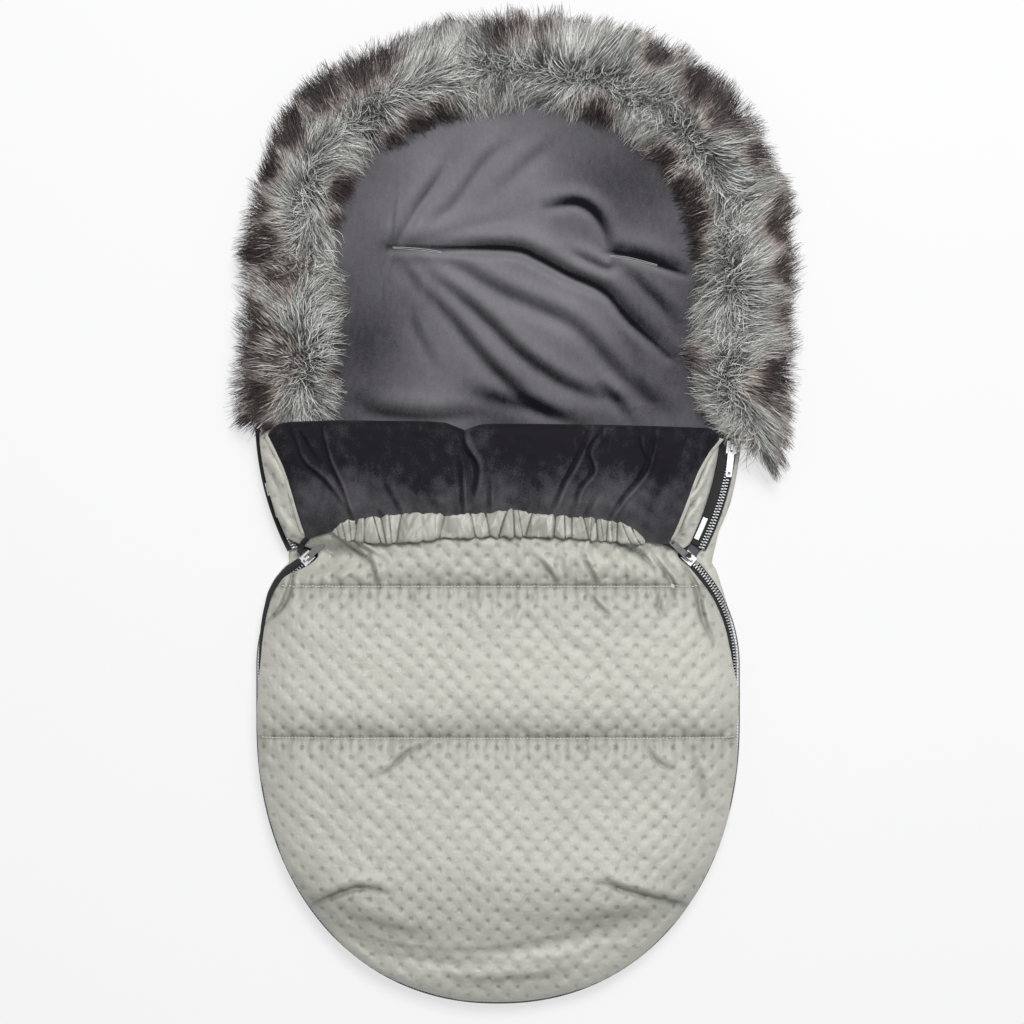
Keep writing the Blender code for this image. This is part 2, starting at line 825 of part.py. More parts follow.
def foot_places():
    """Evenly spread points round the foot, between the flanks' feet, right to left."""
    fine = []
    for step in range(FINE_STEPS + 1):
        turn = math.pi * step / FINE_STEPS
        wide = abs(math.cos(turn)) ** (2 / TOE_FULLNESS) * (1 if turn < math.pi / 2 else -1)
        deep = abs(math.sin(turn)) ** (2 / TOE_FULLNESS)
        fine.append(Vector((ZIP_HALF_WIDTH * wide, WIDEST_Y - TOE_LENGTH * deep, 0)))
    lengths = [0]
    for before, after in zip(fine, fine[1:]):
        lengths.append(lengths[-1] + (after - before).length)
    links = round(lengths[-1] / FOOT_LINK)
    places = []
    for link in range(links + 1):
        want = lengths[-1] * link / links
        index = max(i for i, length in enumerate(lengths[:-1]) if length <= want)
        share = (want - lengths[index]) / (lengths[index + 1] - lengths[index])
        places.append(fine[index].lerp(fine[index + 1], share))
    return places


def lower_stations(end_turn):
    """Stations of the lower zip from the right waist round the foot to the left waist.

    Returns them with the number of links that carry teeth at each end.
    """
    link_turn = LOWER_BLOCK_PITCH * BLOCKS_IN_LINK / WAIST_RADIUS
    toothed = round(end_turn / link_turn)
    turns = [end_turn * (1 - link / toothed) for link in range(toothed + 1)]
    right = [waist_place(1, turn) for turn in turns]
    left = [waist_place(-1, turn) for turn in reversed(turns)]
    foot = with_outward(foot_places(), Vector((0, WIDEST_Y, 0)))
    return right + foot + left, toothed


def chain(name, stations, side, teeth_in_link, toothed_links):
    """A row of moulded teeth on its cord, as one comb with plain links where it has none.

    side is 1 for the row outside the zip's middle line and -1 for the row inside it.
    toothed_links are the numbers of the links that carry teeth, each tooth half a pitch wide.
    """
    points = []
    faces = []
    near, far = (edge + (0 if side > 0 else INNER_ROW_SHARE) for edge in TOOTH_EDGE_SHARES)
    profile = ((near, TOOTH_CORD), (near, TOOTH_TIP), (far, TOOTH_TIP), (far, TOOTH_CORD))

    def put(place, outward, across):
        """Adds the lower and upper point at one place and gives the lower one's number."""
        at = place + outward * (across * side)
        points.append((at.x, at.y, ZIP_Z - TOOTH_HALF_HEIGHT))
        points.append((at.x, at.y, ZIP_Z + TOOTH_HALF_HEIGHT))
        return len(points) - 2

    def wall(first, second):
        faces.append((first, second, second + 1, first + 1))

    ends = [(put(*station, TOOTH_ROOT), put(*station, TOOTH_CORD)) for station in stations]
    wall(*ends[0])
    wall(*ends[-1])
    for link, (start, stop) in enumerate(zip(stations, stations[1:])):
        (start_root, start_cord), (stop_root, stop_cord) = ends[link], ends[link + 1]
        comb = [start_cord]
        if link in toothed_links:
            for tooth in range(teeth_in_link):
                for edge, across in profile:
                    share = (tooth + edge) / teeth_in_link
                    place = start[0].lerp(stop[0], share)
                    outward = start[1].lerp(stop[1], share).normalized()
                    comb.append(put(place, outward, across))
        comb.append(stop_cord)
        for first, second in zip(comb, comb[1:]):
            wall(first, second)
        wall(start_root, stop_root)
        around = comb + [stop_root, start_root]
        faces.append(tuple(around))
        faces.append(tuple(index + 1 for index in around))
    add_piece(name, mesh_from(name, points, faces, False), "metal")


def strip_section(near, far, middle_z, half_thickness):
    """A flat strip's section, from near to far outward."""
    return (
        (near, middle_z - half_thickness),
        (far, middle_z - half_thickness),
        (far, middle_z + half_thickness),
        (near, middle_z + half_thickness),
    )


def back_tape_sections(stations):
    """The tape on the back: level beside the teeth, then folded down onto the lining's edge."""
    near = TOOTH_ROOT + GAP
    low = ZIP_Z - TAPE_HALF_THICKNESS
    high = ZIP_Z + TAPE_HALF_THICKNESS
    fold = BACK_TAPE_EDGE - BACK_TAPE_FOLD

    def section(number):
        place, outward = stations[number]
        seats = [place + outward * across for across in (fold, BACK_TAPE_EDGE)]
        inner, outer = [lining_top(seat.x, seat.y) + 2 * GAP for seat in seats]
        return (
            (near, low),
            (BACK_TAPE_FLAT - GAP, low),
            (fold, max(inner, outer)),
            (BACK_TAPE_EDGE, outer),
            (BACK_TAPE_EDGE, outer + 2 * TAPE_HALF_THICKNESS),
            (BACK_TAPE_FLAT + GAP, high),
            (near, high),
        )

    return section


def cover_tape_section(border):
    """The tape on the cover, level from the teeth to under the cover's edge."""
    return strip_section(-TOOTH_ROOT - GAP, -border - TAPE_SEAT, ZIP_Z, TAPE_HALF_THICKNESS)


def upper_zips():
    """Tape and teeth of both halves of each side zip, and the film at the right one's foot."""
    for name, side in SIDES.items():
        cover_stations = upper_stations(side, UPPER_CHAIN_FOOT_Y, UPPER_CHAIN_TOP_Y)
        closed_top = UPPER_SLIDER_YS[name] - SLIDER_LENGTH / 2 - TOOTH_PITCH
        back_stations = upper_stations(side, UPPER_CHAIN_FOOT_Y, closed_top)
        links = range(len(cover_stations))
        chain(f"upper_teeth_cover_{name}", cover_stations, -1, TEETH_IN_LINK, links)
        chain(f"upper_teeth_back_{name}", back_stations, 1, TEETH_IN_LINK, links)
        swept(
            f"upper_tape_cover_{name}",
            cover_stations,
            cover_tape_section(UPPER_COVER_BORDER),
            "tape",
        )
        section = back_tape_sections(cover_stations)
        swept(f"upper_tape_back_{name}", cover_stations, section, "tape")
    near = -TOOTH_ROOT - SLIDER_CLEARANCE - SLIDER_WALL - GAP
    film_z = ZIP_Z + TAPE_HALF_THICKNESS + GAP + FILM_THICKNESS / 2
    stations = upper_stations(1, FILM_FOOT_Y, FILM_FOOT_Y + FILM_LENGTH)
    section = strip_section(near, near - FILM_WIDTH, film_z, FILM_THICKNESS / 2)
    swept("zip_end_film", stations, section, "film")


def lower_zip():
    """Tape and teeth of both halves of the long zip round the foot."""
    stations, toothed = lower_stations(WAIST_TURN)
    links = len(stations) - 1
    ends = set(range(toothed)) | set(range(links - toothed, links))
    chain("lower_teeth_cover", stations, -1, BLOCKS_IN_LINK, ends)
    swept("lower_tape_cover", stations, cover_tape_section(COVER_BORDER), "tape")
    behind = (SLIDER_LENGTH / 2 + TOOTH_PITCH) / WAIST_RADIUS
    stations, toothed = lower_stations(LOWER_SLIDER_TURN - behind)
    links = len(stations) - 1
    ends = set(range(toothed)) | set(range(links - toothed, links))
    chain("lower_teeth_back", stations, 1, BLOCKS_IN_LINK, ends)
    swept("lower_tape_back", stations, back_tape_sections(stations), "tape")


def tape_tails():
    """The lower zip's tape ends, turned in and sewn across the waist of the cover."""
    for name, side in SIDES.items():
        (inner_x, inner_y), (outer_x, outer_y) = TAIL_ENDS
        count = len(CUFF_ROW_SHARES)
        points = []
        for share in CUFF_ROW_SHARES:
            x = side * (inner_x + (outer_x - inner_x) * share)
            y = inner_y + (outer_y - inner_y) * share
            for across, up in ((1, 0), (1, 1), (-1, 1), (-1, 0)):
                at = y + across * TAIL_WIDTH / 2
                foot = cover_top(x, at) + TAIL_REST
                points.append((x, at, foot + up * TAIL_THICKNESS))
        add_piece(
            f"tape_tail_{name}",
            mesh_from(f"tape_tail_{name}", points, tube_faces(count, 4, False)),
            "tape",
        )


# Sliders and pulls


def extruded(name, outline, low, high, axes):
    """A straight solid: outline in the plane of two axes, from low to high along the third."""
    points = []
    for depth in (low, high):
        for first, second in outline:
            point = [0, 0, 0]
            point[axes[0]] = first
            point[axes[1]] = second
            point[axes[2]] = depth
            points.append(point)
    count = len(outline)
    faces = [tuple(range(count)), tuple(range(count, 2 * count))]
    for index in range(count):
        beside = (index + 1) % count
        faces.append((index, beside, count + beside, count + index))
    return mesh_from(name, points, faces, False)


def slider_plate_outline(up):
    """One plate of the slider with its two side lips, seen along the chain."""
    inside = TOOTH_HALF_HEIGHT + SLIDER_CLEARANCE
    outside = inside + SLIDER_PLATE
    channel = TOOTH_ROOT + SLIDER_CLEARANCE
    wide = channel + SLIDER_WALL
    chamfer = SLIDER_PLATE / 2
    half = [
        (channel, inside),
        (channel, SLIDER_SLOT),
        (wide, SLIDER_SLOT),
        (wide, outside - chamfer),
        (wide - chamfer, outside),
    ]
    mirrored = [(-across, height) for across, height in reversed(half)]
    return [(across, height * up) for across, height in half + mirrored]


def slider_top():
    return TOOTH_HALF_HEIGHT + SLIDER_CLEARANCE + SLIDER_PLATE


def bridge_outline():
    """The staple over the top plate that holds the pull, seen from the side."""
    foot = slider_top() - BRIDGE_SINK
    ceiling = slider_top() + BRIDGE_INSIDE
    roof = ceiling + BRIDGE_BAR
    inside = BRIDGE_HALF_LENGTH - BRIDGE_BAR
    half = [
        (inside, ceiling),
        (inside, foot),
        (BRIDGE_HALF_LENGTH, foot),
        (BRIDGE_HALF_LENGTH, roof - BRIDGE_BAR),
        (inside, roof),
    ]
    return half + [(-along, height) for along, height in reversed(half)]


def slider_mesh():
    """Two plates with lips, the post between the rows and the bridge, joined as one."""
    end = SLIDER_LENGTH / 2
    inside = TOOTH_HALF_HEIGHT + SLIDER_CLEARANCE + BRIDGE_SINK
    post = [
        (end - POST_LENGTH, -inside),
        (end, -inside),
        (end, inside),
        (end - POST_LENGTH, inside),
    ]
    shapes = [
        extruded("top_plate", slider_plate_outline(1), -end, end, (1, 2, 0)),
        extruded("bottom_plate", slider_plate_outline(-1), -end, end, (1, 2, 0)),
        extruded("post", post, -POST_HALF_WIDTH, POST_HALF_WIDTH, (0, 2, 1)),
        extruded("bridge", bridge_outline(), -BRIDGE_HALF_WIDTH, BRIDGE_HALF_WIDTH, (0, 2, 1)),
    ]
    things = []
    for shape in shapes:
        thing = bpy.data.objects.new(shape.name, shape)
        bpy.context.scene.collection.objects.link(thing)
        things.append(thing)
    body = things[0]
    for other in things[1:]:
        join = body.modifiers.new(other.name, "BOOLEAN")
        join.operation = "UNION"
        join.object = other
    bpy.context.view_layer.update()
    ready = body.evaluated_get(bpy.context.evaluated_depsgraph_get())
    mesh = bpy.data.meshes.new_from_object(ready)
    mesh.name = "slider"
    for thing in things:
        bpy.data.objects.remove(thing, do_unlink=True)
    return mesh


def pull_mesh():
    """A flat tab with an eye round the bridge and a small hole near its free end.

    Its hinge line is the bar at the end of the eye, on the local Y axis.
    """
    bar = PULL_THICKNESS / 2
    tip = PULL_LENGTH
    places = [
        -bar,
        bar,
        bar + PULL_EYE_LENGTH,
        tip - PULL_HOLE_MARGIN - PULL_HOLE,
        tip - PULL_HOLE_MARGIN,
        tip,
    ]
    outer_shares = (0.92, 1, 1, 0.94, 0.94, 0.8)
    inner = (PULL_EYE_WIDTH / 2, PULL_EYE_WIDTH / 2, PULL_EYE_WIDTH / 2)
    inner += (PULL_HOLE / 2, PULL_HOLE / 2, PULL_HOLE / 2)
    points = []
    for height in (-bar, bar):
        for place, share, hole in zip(places, outer_shares, inner):
            half = PULL_WIDTH / 2 * share
            for across in (-half, -hole, hole, half):
                points.append((place, across, height))
    layer = len(places) * 4

    def at(level, row, column):
        return level * layer + row * 4 + column

    solid = {(row, column) for row in range(len(places) - 1) for column in range(3)}
    solid -= {(1, 1), (3, 1)}
    faces = []
    for row, column in sorted(solid):
        for level in (0, 1):
            faces.append(
                (
                    at(level, row, column),
                    at(level, row, column + 1),
                    at(level, row + 1, column + 1),
                    at(level, row + 1, column),
                )
            )
        sides = (
            ((row - 1, column), (row, column), (row, column + 1)),
            ((row + 1, column), (row + 1, column), (row + 1, column + 1)),
            ((row, column - 1), (row, column), (row + 1, column)),
            ((row, column + 1), (row, column + 1), (row + 1, column + 1)),
        )
        for neighbour, first, second in sides:
            if neighbour not in solid:
                faces.append((at(0, *first), at(0, *second), at(1, *second), at(1, *first)))
    return mesh_from("pull", points, faces, False)


def pull_hinge_height():
    """Height of the pull's hinge line over the zip's middle plane."""
    return slider_top() + BRIDGE_INSIDE / 2


def resting_tilt(place, along):
    """How far a pull that lies over the cover is tipped up."""
    hinge_z = ZIP_Z + pull_hinge_height()
    beside = Vector((-along.y, along.x, 0)) * PULL_WIDTH / 2
    tilt = 0
    for share in PULL_REST_SHARES:
        reach = PULL_LENGTH * share
        for at in (place + along * reach - beside, place + along * reach + beside):
            if abs(at.x) < cover_half(at.y):
                rise = cover_top(at.x, at.y) + PULL_REST + PULL_THICKNESS / 2 - hinge_z
                tilt = max(tilt, math.atan2(rise, reach))
    return tilt


def add_slider(name, side_name, place, along, pull_along, tilt, meshes):
    """One slider on the zip line and its pull, whose origin is on its hinge line.

    along points to the slider's mouth, where the rows part, and pull_along along the pull.
    """
    across = Vector((0, 0, 1)).cross(along)
    axes = Matrix((along, across, Vector((0, 0, 1)))).transposed().to_4x4()
    slider = add_piece(f"{name}_slider_{side_name}", meshes[0].copy(), "metal")
    slider.matrix_world = Matrix.Translation(place + Vector((0, 0, ZIP_Z))) @ axes
    hinge = Vector((0, 0, 1)).cross(pull_along)
    axes = Matrix((pull_along, hinge, Vector((0, 0, 1)))).transposed().to_4x4()
    lift = Matrix.Rotation(-tilt, 4, "Y")
    pull = add_piece(f"{name}_pull_{side_name}", meshes[1].copy(), "metal")
    height = Vector((0, 0, ZIP_Z + pull_hinge_height()))
    pull.matrix_world = Matrix.Translation(place + height) @ axes @ lift
    return slider, pull


def carry(thing, carrier):
    """Makes a piece follow its carrier and leaves it where it is."""
    bpy.context.view_layer.update()
    thing.parent = carrier
    thing.matrix_parent_inverse = carrier.matrix_world.inverted()


def pivot(name, place, pieces, carrier=None):
    """An empty on a joint's axis, the parent of the pieces that turn about it."""
    empty = bpy.data.objects.new(name, None)
    bpy.context.scene.collection.objects.link(empty)
    empty.location = place
    for piece in pieces:
        carry(piece, empty)
    if carrier:
        carry(empty, carrier)
    return empty


def sliders(cover_pivot):
    """A slider near the top of each upper zip and one at each end of the lower zip.

    Each turns with its pull about the centre of the arc that it runs on.
    """
    meshes = (slider_mesh(), pull_mesh())
    upper_centre = UPPER_HALF_WIDTH - UPPER_RADIUS
    lower_centre = ZIP_HALF_WIDTH - WAIST_RADIUS
    for name, side in SIDES.items():
        place, outward = upper_place(side, UPPER_SLIDER_YS[name])
        upward = Vector((-outward.y, outward.x, 0)) * side
        slider, pull = add_slider("upper", name, place, upward, -upward, 0, meshes)
        centre = Vector((side * upper_centre, UPPER_TOP_Y, ZIP_Z))
        pivot(f"upper_slide_{name}", centre, (slider, pull), cover_pivot)
        place, outward = waist_place(side, LOWER_SLIDER_TURN)
        upward = Vector((-outward.y, outward.x, 0)) * side
        tilt = resting_tilt(place, upward)
        slider, pull = add_slider("lower", name, place, upward, upward, tilt, meshes)
        centre = Vector((side * lower_centre, FLANK_TOP_Y, ZIP_Z))
        pivot(f"lower_slide_{name}", centre, (slider, pull), cover_pivot)


def hinge_cover():
    """Parents the cover to its hinge line at the foot, and the cuff to its fold."""
    things = list(bpy.context.scene.objects)
    on_cover = [thing for thing in things if "cover" in thing.name or thing.name.startswith(COVER_TRIM)]
    on_cuff = [thing for thing in things if thing.name.startswith("cuff")]
    toe = Vector((0, WIDEST_Y - TOE_LENGTH - BACK_BORDER, COVER_HINGE_Z))
    cover_pivot = pivot("cover_swing", toe, on_cover)
    fold = Vector((0, FOLD_Y, cover_top(0, FOLD_Y) + CUFF_REST / 2))
    pivot("cuff_fold", fold, on_cuff, cover_pivot)
    return cover_pivot


def build():
    clear_scene()
    back_panel()
    fur_trim()
    cover_layers()
    cuff_layers()
    hem_tube()
    hem_elastic()
    upper_zips()
    lower_zip()
    tape_tails()
    sliders(hinge_cover())


build()
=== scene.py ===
"""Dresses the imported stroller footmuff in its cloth, fur, zips, light and camera, in metres."""

import math

import bpy
import numpy as np
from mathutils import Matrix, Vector


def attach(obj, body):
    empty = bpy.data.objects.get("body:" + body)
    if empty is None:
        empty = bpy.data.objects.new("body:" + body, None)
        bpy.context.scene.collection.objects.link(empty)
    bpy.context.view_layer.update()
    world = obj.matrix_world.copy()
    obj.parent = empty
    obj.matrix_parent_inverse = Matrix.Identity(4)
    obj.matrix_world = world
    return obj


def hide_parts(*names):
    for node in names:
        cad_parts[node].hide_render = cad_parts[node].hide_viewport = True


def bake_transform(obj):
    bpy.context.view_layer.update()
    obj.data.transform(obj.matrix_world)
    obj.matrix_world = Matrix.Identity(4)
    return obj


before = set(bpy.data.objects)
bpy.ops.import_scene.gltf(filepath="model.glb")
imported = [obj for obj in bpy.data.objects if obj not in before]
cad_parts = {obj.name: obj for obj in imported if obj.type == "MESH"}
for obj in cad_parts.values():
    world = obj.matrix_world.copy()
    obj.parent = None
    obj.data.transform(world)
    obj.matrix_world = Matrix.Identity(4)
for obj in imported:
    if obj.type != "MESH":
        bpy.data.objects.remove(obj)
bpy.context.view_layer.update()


# Table, light and camera
# The footmuff lies on a white table. A wide soft lamp stands on its hood side and the white
# room fills the rest. The camera looks straight down, as in a catalogue picture.


class Shade:
    """A socket of a material's nodes, with the operators that formulas on values need."""

    def __init__(self, tree, socket=None):
        self.tree = tree
        self.socket = socket

    def node(self, kind, settings, inputs, output=0):
        """Adds a node and returns one of its outputs."""
        made = self.tree.nodes.new("ShaderNode" + kind)
        for name, value in settings.items():
            if name == "stops":
                while len(made.color_ramp.elements) < len(value):
                    made.color_ramp.elements.new(0.5)
                for stop, (place, colour) in zip(made.color_ramp.elements, value):
                    stop.position = place
                    stop.color = (*colour, 1)
            else:
                setattr(made, name, value)
        for name, value in inputs.items():
            if isinstance(value, Shade):
                self.tree.links.new(value.socket, made.inputs[name])
            else:
                made.inputs[name].default_value = value
        return Shade(self.tree, made.outputs[output])

    def math(self, operation, first, second):
        """A Math node on two values."""
        return self.node("Math", {"operation": operation}, {0: first, 1: second})

    def __add__(self, other):
        return self.math("ADD", self, other)

    __radd__ = __add__

    def __sub__(self, other):
        return self.math("SUBTRACT", self, other)

    def __rsub__(self, other):
        return self.math("SUBTRACT", other, self)

    def __mul__(self, other):
        return self.math("MULTIPLY", self, other)

    __rmul__ = __mul__

    def __pow__(self, other):
        return self.math("POWER", self, other)

    def least(self, other):
        """The lower of two values."""
        return self.math("MINIMUM", self, other)

    def most(self, other):
        """The higher of two values."""
        return self.math("MAXIMUM", self, other)

    def share(self):
        """The value kept from 0 to 1."""
        return self.least(1.0).most(0.0)

    def between(self, low, high):
        """The colour that lies this share of the way from low to high."""
        ends = [(*end, 1) if isinstance(end, tuple) else end for end in (low, high)]
        return self.node("Mix", {"data_type": "RGBA"}, {0: self, 6: ends[0], 7: ends[1]}, 2)

    def place(self):
        """The place on the object, in metres."""
        return self.node("TexCoord", {}, {}, "Object")

    def stretched(self, size):
        """This place with its three directions scaled apart."""
        return self.node("Mapping", {}, {"Vector": self, "Scale": size})

    def cloud(self, place, size, detail=3):
        """Soft noise with patches about as wide as size, from 0 to 1."""
        return self.node("TexNoise", {}, {"Vector": place, "Scale": 1 / size, "Detail": detail}, "Fac")

    def ribs(self, place, pitch, direction):
        """Straight waves across one direction, from 0 to 1."""
        scale = math.pi / (10 * pitch)
        settings = {"wave_type": "BANDS", "bands_direction": direction}
        return self.node("TexWave", settings, {"Vector": place, "Scale": scale}, "Fac")

    def field(self, name):
        """A value that the mesh carries at its points."""
        return self.node("Attribute", {"attribute_name": name}, {}, "Fac")

    def bump(self, height, depth, strength=1.0):
        """The direction of a surface that a height from 0 to 1 raises by depth."""
        return self.node("Bump", {}, {"Strength": strength, "Distance": depth, "Height": height}, 0)


def finish_of(name, constants, paint):
    """A material: fixed values of its Principled shader, and links that paint returns."""
    made = bpy.data.materials.new(name)
    made.use_nodes = True
    tree = made.node_tree
    shader = tree.nodes["Principled BSDF"]
    for socket, value in constants.items():
        shader.inputs[socket].default_value = value
    for socket, shade in paint(Shade(tree)).items():
        tree.links.new(shade.socket, shader.inputs[socket])
    return made


def mesh_piece(name, points, faces, material, fields=None):
    """An object with a smooth mesh, whose points may carry named values."""
    mesh = bpy.data.meshes.new(name)
    mesh.from_pydata(np.asarray(points, float).tolist(), [], faces)
    mesh.shade_smooth()
    for field, values in (fields or {}).items():
        mesh.attributes.new(field, "FLOAT", "POINT").data.foreach_set("value", np.ravel(values))
    mesh.materials.append(material)
    piece = bpy.data.objects.new(name, mesh)
    bpy.context.scene.collection.objects.link(piece)
    return piece


TABLE_HALF = 30.0
TABLE_WHITE = (0.93, 0.93, 0.935)
TABLE_GLOW = 0.72
ROOM_LIGHT = 0.28
LAMP_PLACE = (0.42, 1.25, 2.95)
LAMP_SIZE = 1.3
LAMP_POWER = 98
VIEW_CENTRE = (0.014, -0.006)
VIEW_HEIGHT = 2.874
VIEW_LENS = 100


def table_finish():
    """White that the camera and mirrors see as bright as the room, with the object's shadow."""
    made = bpy.data.materials.new("table_white")
    made.use_nodes = True
    tree = made.node_tree
    shader = tree.nodes["Principled BSDF"]
    shader.inputs["Base Color"].default_value = (*TABLE_WHITE, 1)
    shader.inputs["Roughness"].default_value = 0.9
    shader.inputs["Specular IOR Level"].default_value = 0.0
    shade = Shade(tree)
    seen = shade.node("LightPath", {}, {}, "Is Camera Ray")
    seen = seen.most(shade.node("LightPath", {}, {}, "Is Glossy Ray"))
    seen = seen.most(shade.node("LightPath", {}, {}, "Is Transmission Ray"))
    glow = shade.node("Emission", {}, {"Color": (*TABLE_WHITE, 1), "Strength": 1.0})
    plain = Shade(tree, shader.outputs[0])
    both = shade.node("MixShader", {}, {0: seen * TABLE_GLOW, 1: plain, 2: glow})
    tree.links.new(both.socket, tree.nodes["Material Output"].inputs["Surface"])
    return made


corners = [(-TABLE_HALF, -TABLE_HALF, 0), (TABLE_HALF, -TABLE_HALF, 0)]
corners += [(TABLE_HALF, TABLE_HALF, 0), (-TABLE_HALF, TABLE_HALF, 0)]
table = mesh_piece("table", corners, [(0, 1, 2, 3)], table_finish())

scene = bpy.context.scene
scene.view_settings.view_transform = "Standard"
room = bpy.data.worlds.new("room")
room.use_nodes = True
room.node_tree.nodes["Background"].inputs["Color"].default_value = (1, 1, 1, 1)
room.node_tree.nodes["Background"].inputs["Strength"].default_value = ROOM_LIGHT
scene.world = room

lamp = bpy.data.objects.new("window", bpy.data.lights.new("window", "AREA"))
lamp.data.energy = LAMP_POWER
lamp.data.shape = "SQUARE"
lamp.data.size = LAMP_SIZE
lamp.location = LAMP_PLACE
lamp.rotation_euler = (-Vector(LAMP_PLACE)).to_track_quat("-Z", "Y").to_euler()
scene.collection.objects.link(lamp)

camera = bpy.data.objects.new("camera", bpy.data.cameras.new("camera"))
camera.data.lens = VIEW_LENS
camera.location = (*VIEW_CENTRE, VIEW_HEIGHT)
scene.collection.objects.link(camera)
scene.camera = camera


# Back panel
# The lower half: quilted satin over wadding, cut to the zip line with a border that wraps up
# round the edge to the zip tape. The rounded hood continues it above the pouch.

MM = 0.001
ZIP_HALF_WIDTH = 0.239
WIDEST_Y = -0.215
TOE_LENGTH = 0.281
TOE_FULLNESS = 2.15
FLANK_TOP_Y = -0.160
WAIST_RADIUS = 0.146
UPPER_HALF_WIDTH = 0.236
UPPER_RADIUS = 0.289
UPPER_TOP_Y = 0.090
WAIST_Y = -0.047
HOOD_Y = 0.170
SHOULDER_LENGTH = 0.012
HOOD_HALF_WIDTH = 0.226
HOOD_HEIGHT = 0.271
HOOD_SHIFT = 0.018
HOOD_FULLNESS = 2.3


def ease(share):
    """0 to 1 with level ends."""
    share = np.clip(share, 0, 1)
    return share * share * (3 - 2 * share)


def bell(distance, reach):
    """1 at no distance, falling off smoothly past reach."""
    return np.exp(-((distance / reach) ** 2))


def read_off(places, table):
    """Values at these places from a table of (place, value) pairs in millimetres."""
    return np.interp(places, *(np.array(table).T * MM))


def as_points(x, y, z):
    """The points of a mesh, one to a row."""
    return np.stack([x, y, z], -1).reshape(-1, 3)


def zip_arcs(y):
    """Half the widths that the long zip's flank and the side zips lie at."""
    rise = np.clip(y - FLANK_TOP_Y, 0, WAIST_RADIUS)
    low = ZIP_HALF_WIDTH - WAIST_RADIUS + np.sqrt(WAIST_RADIUS**2 - rise**2)
    drop = np.clip(UPPER_TOP_Y - y, 0, UPPER_RADIUS)
    return low, UPPER_HALF_WIDTH - UPPER_RADIUS + np.sqrt(UPPER_RADIUS**2 - drop**2)


def zip_half(y):
    """Half the width between the zips, above the rounded foot."""
    low, high = zip_arcs(y)
    return np.where(y < WAIST_Y, low, high)


def rounded_end(u, v, fullness):
    """Carries half a square of shares onto a rounded end, ring by ring.

    Returns the places in a unit outline and each one's ring, which is 1 on the outline.
    """
    x = u * np.sqrt(1 - v**2 / 2)
    y = v * np.sqrt(1 - u**2 / 2)
    ring = np.sqrt(x**2 + y**2)
    full = (np.abs(x) ** fullness + np.abs(y) ** fullness) ** (1 / fullness)
    scale = ring / np.maximum(full, 1e-9)
    return x * scale, y * scale, ring


def tucked(ring, lap):
    """Turns rings past the silhouette back under it.

    Returns the share of the way out and, from 0 at the silhouette, how far under.
    """
    share = ring * (1 + lap)
    return np.where(share > 1, 2 - share, share), np.clip(share - 1, 0, None)


def panel_plan(columns, rows, foot, sides, head, lap):
    """Plan of one panel's cloth on a grid, with its edge turned under by lap.

    foot and head are (length, fullness) of a rounded end or None, sides gives the panel's
    middle and half width at y, and rows are the places of the straight part.
    Returns x, y, how far each point lies inside the silhouette, and how far under it.
    """
    u = np.linspace(-1, 1, columns)
    parts = []
    for end, sign, y0 in ((foot, -1, rows[0]), (None, 0, 0), (head, 1, rows[-1])):
        if sign == 0:
            across, y = np.meshgrid(u, rows)
            middle, half = sides(y)
            share, under = tucked(np.abs(across), lap / half)
            x = middle + np.sign(across) * share * half
            parts.append((x, y, (1 - share) * half, under * half))
        elif end:
            length, fullness, count = end
            across, along = np.meshgrid(u, np.linspace(0, 1, count)[1:])
            x, y, ring = rounded_end(across, along, fullness)
            middle, half = sides(np.float64(y0))
            share, under = tucked(ring, lap / half)
            scale = share / np.maximum(ring, 1e-9)
            x, y = middle + x * scale * half, y0 + sign * y * scale * length
            part = (x, y, (1 - share) * half, under * half)
            parts.append([rings[::-1] for rings in part] if sign < 0 else part)
    return [np.concatenate([part[field] for part in parts]) for field in range(4)]


def grid_faces(deep, wide, flip=False):
    """Square faces between the points of a grid."""
    numbers = np.arange(deep * wide).reshape(deep, wide)
    quads = np.stack([numbers[:-1, :-1], numbers[:-1, 1:], numbers[1:, 1:], numbers[1:, :-1]], -1)
    quads = quads.reshape(-1, 4)
    return (quads[:, ::-1] if flip else quads).tolist()


def closing_faces(deep, wide, step, first_inner):
    """Coarse faces that close a fine grid from below, and the coarse points they need.

    The fine grid's border is shared, so each coarse face beside it takes all its points. The
    grid has a whole number of steps each way.
    """
    inner_rows = range(step, deep - 1, step)
    inner_columns = range(step, wide - 1, step)
    number = {}
    for row in inner_rows:
        for column in inner_columns:
            number[row, column] = first_inner + len(number)

    def side(start, stop):
        """Corners from start up to stop, with the fine ones along the border."""
        (row, column), (to_row, to_column) = start, stop
        on_edge = (row == to_row and row in (0, deep - 1)) or (
            column == to_column and column in (0, wide - 1)
        )
        if not on_edge:
            return [start]
        down, over = np.sign(to_row - row), np.sign(to_column - column)
        return [(row + down * k, column + over * k) for k in range(step)]

    faces = []
    for row in range(0, deep - 1, step):
        for column in range(0, wide - 1, step):
            far_row, far_column = row + step, column + step
            corners = [(row, column), (far_row, column), (far_row, far_column), (row, far_column)]
            around = []
            for start, stop in zip(corners, corners[1:] + corners[:1]):
                around += side(start, stop)
            faces.append([int(number[c] if c in number else c[0] * wide + c[1]) for c in around])
    return faces, list(number)


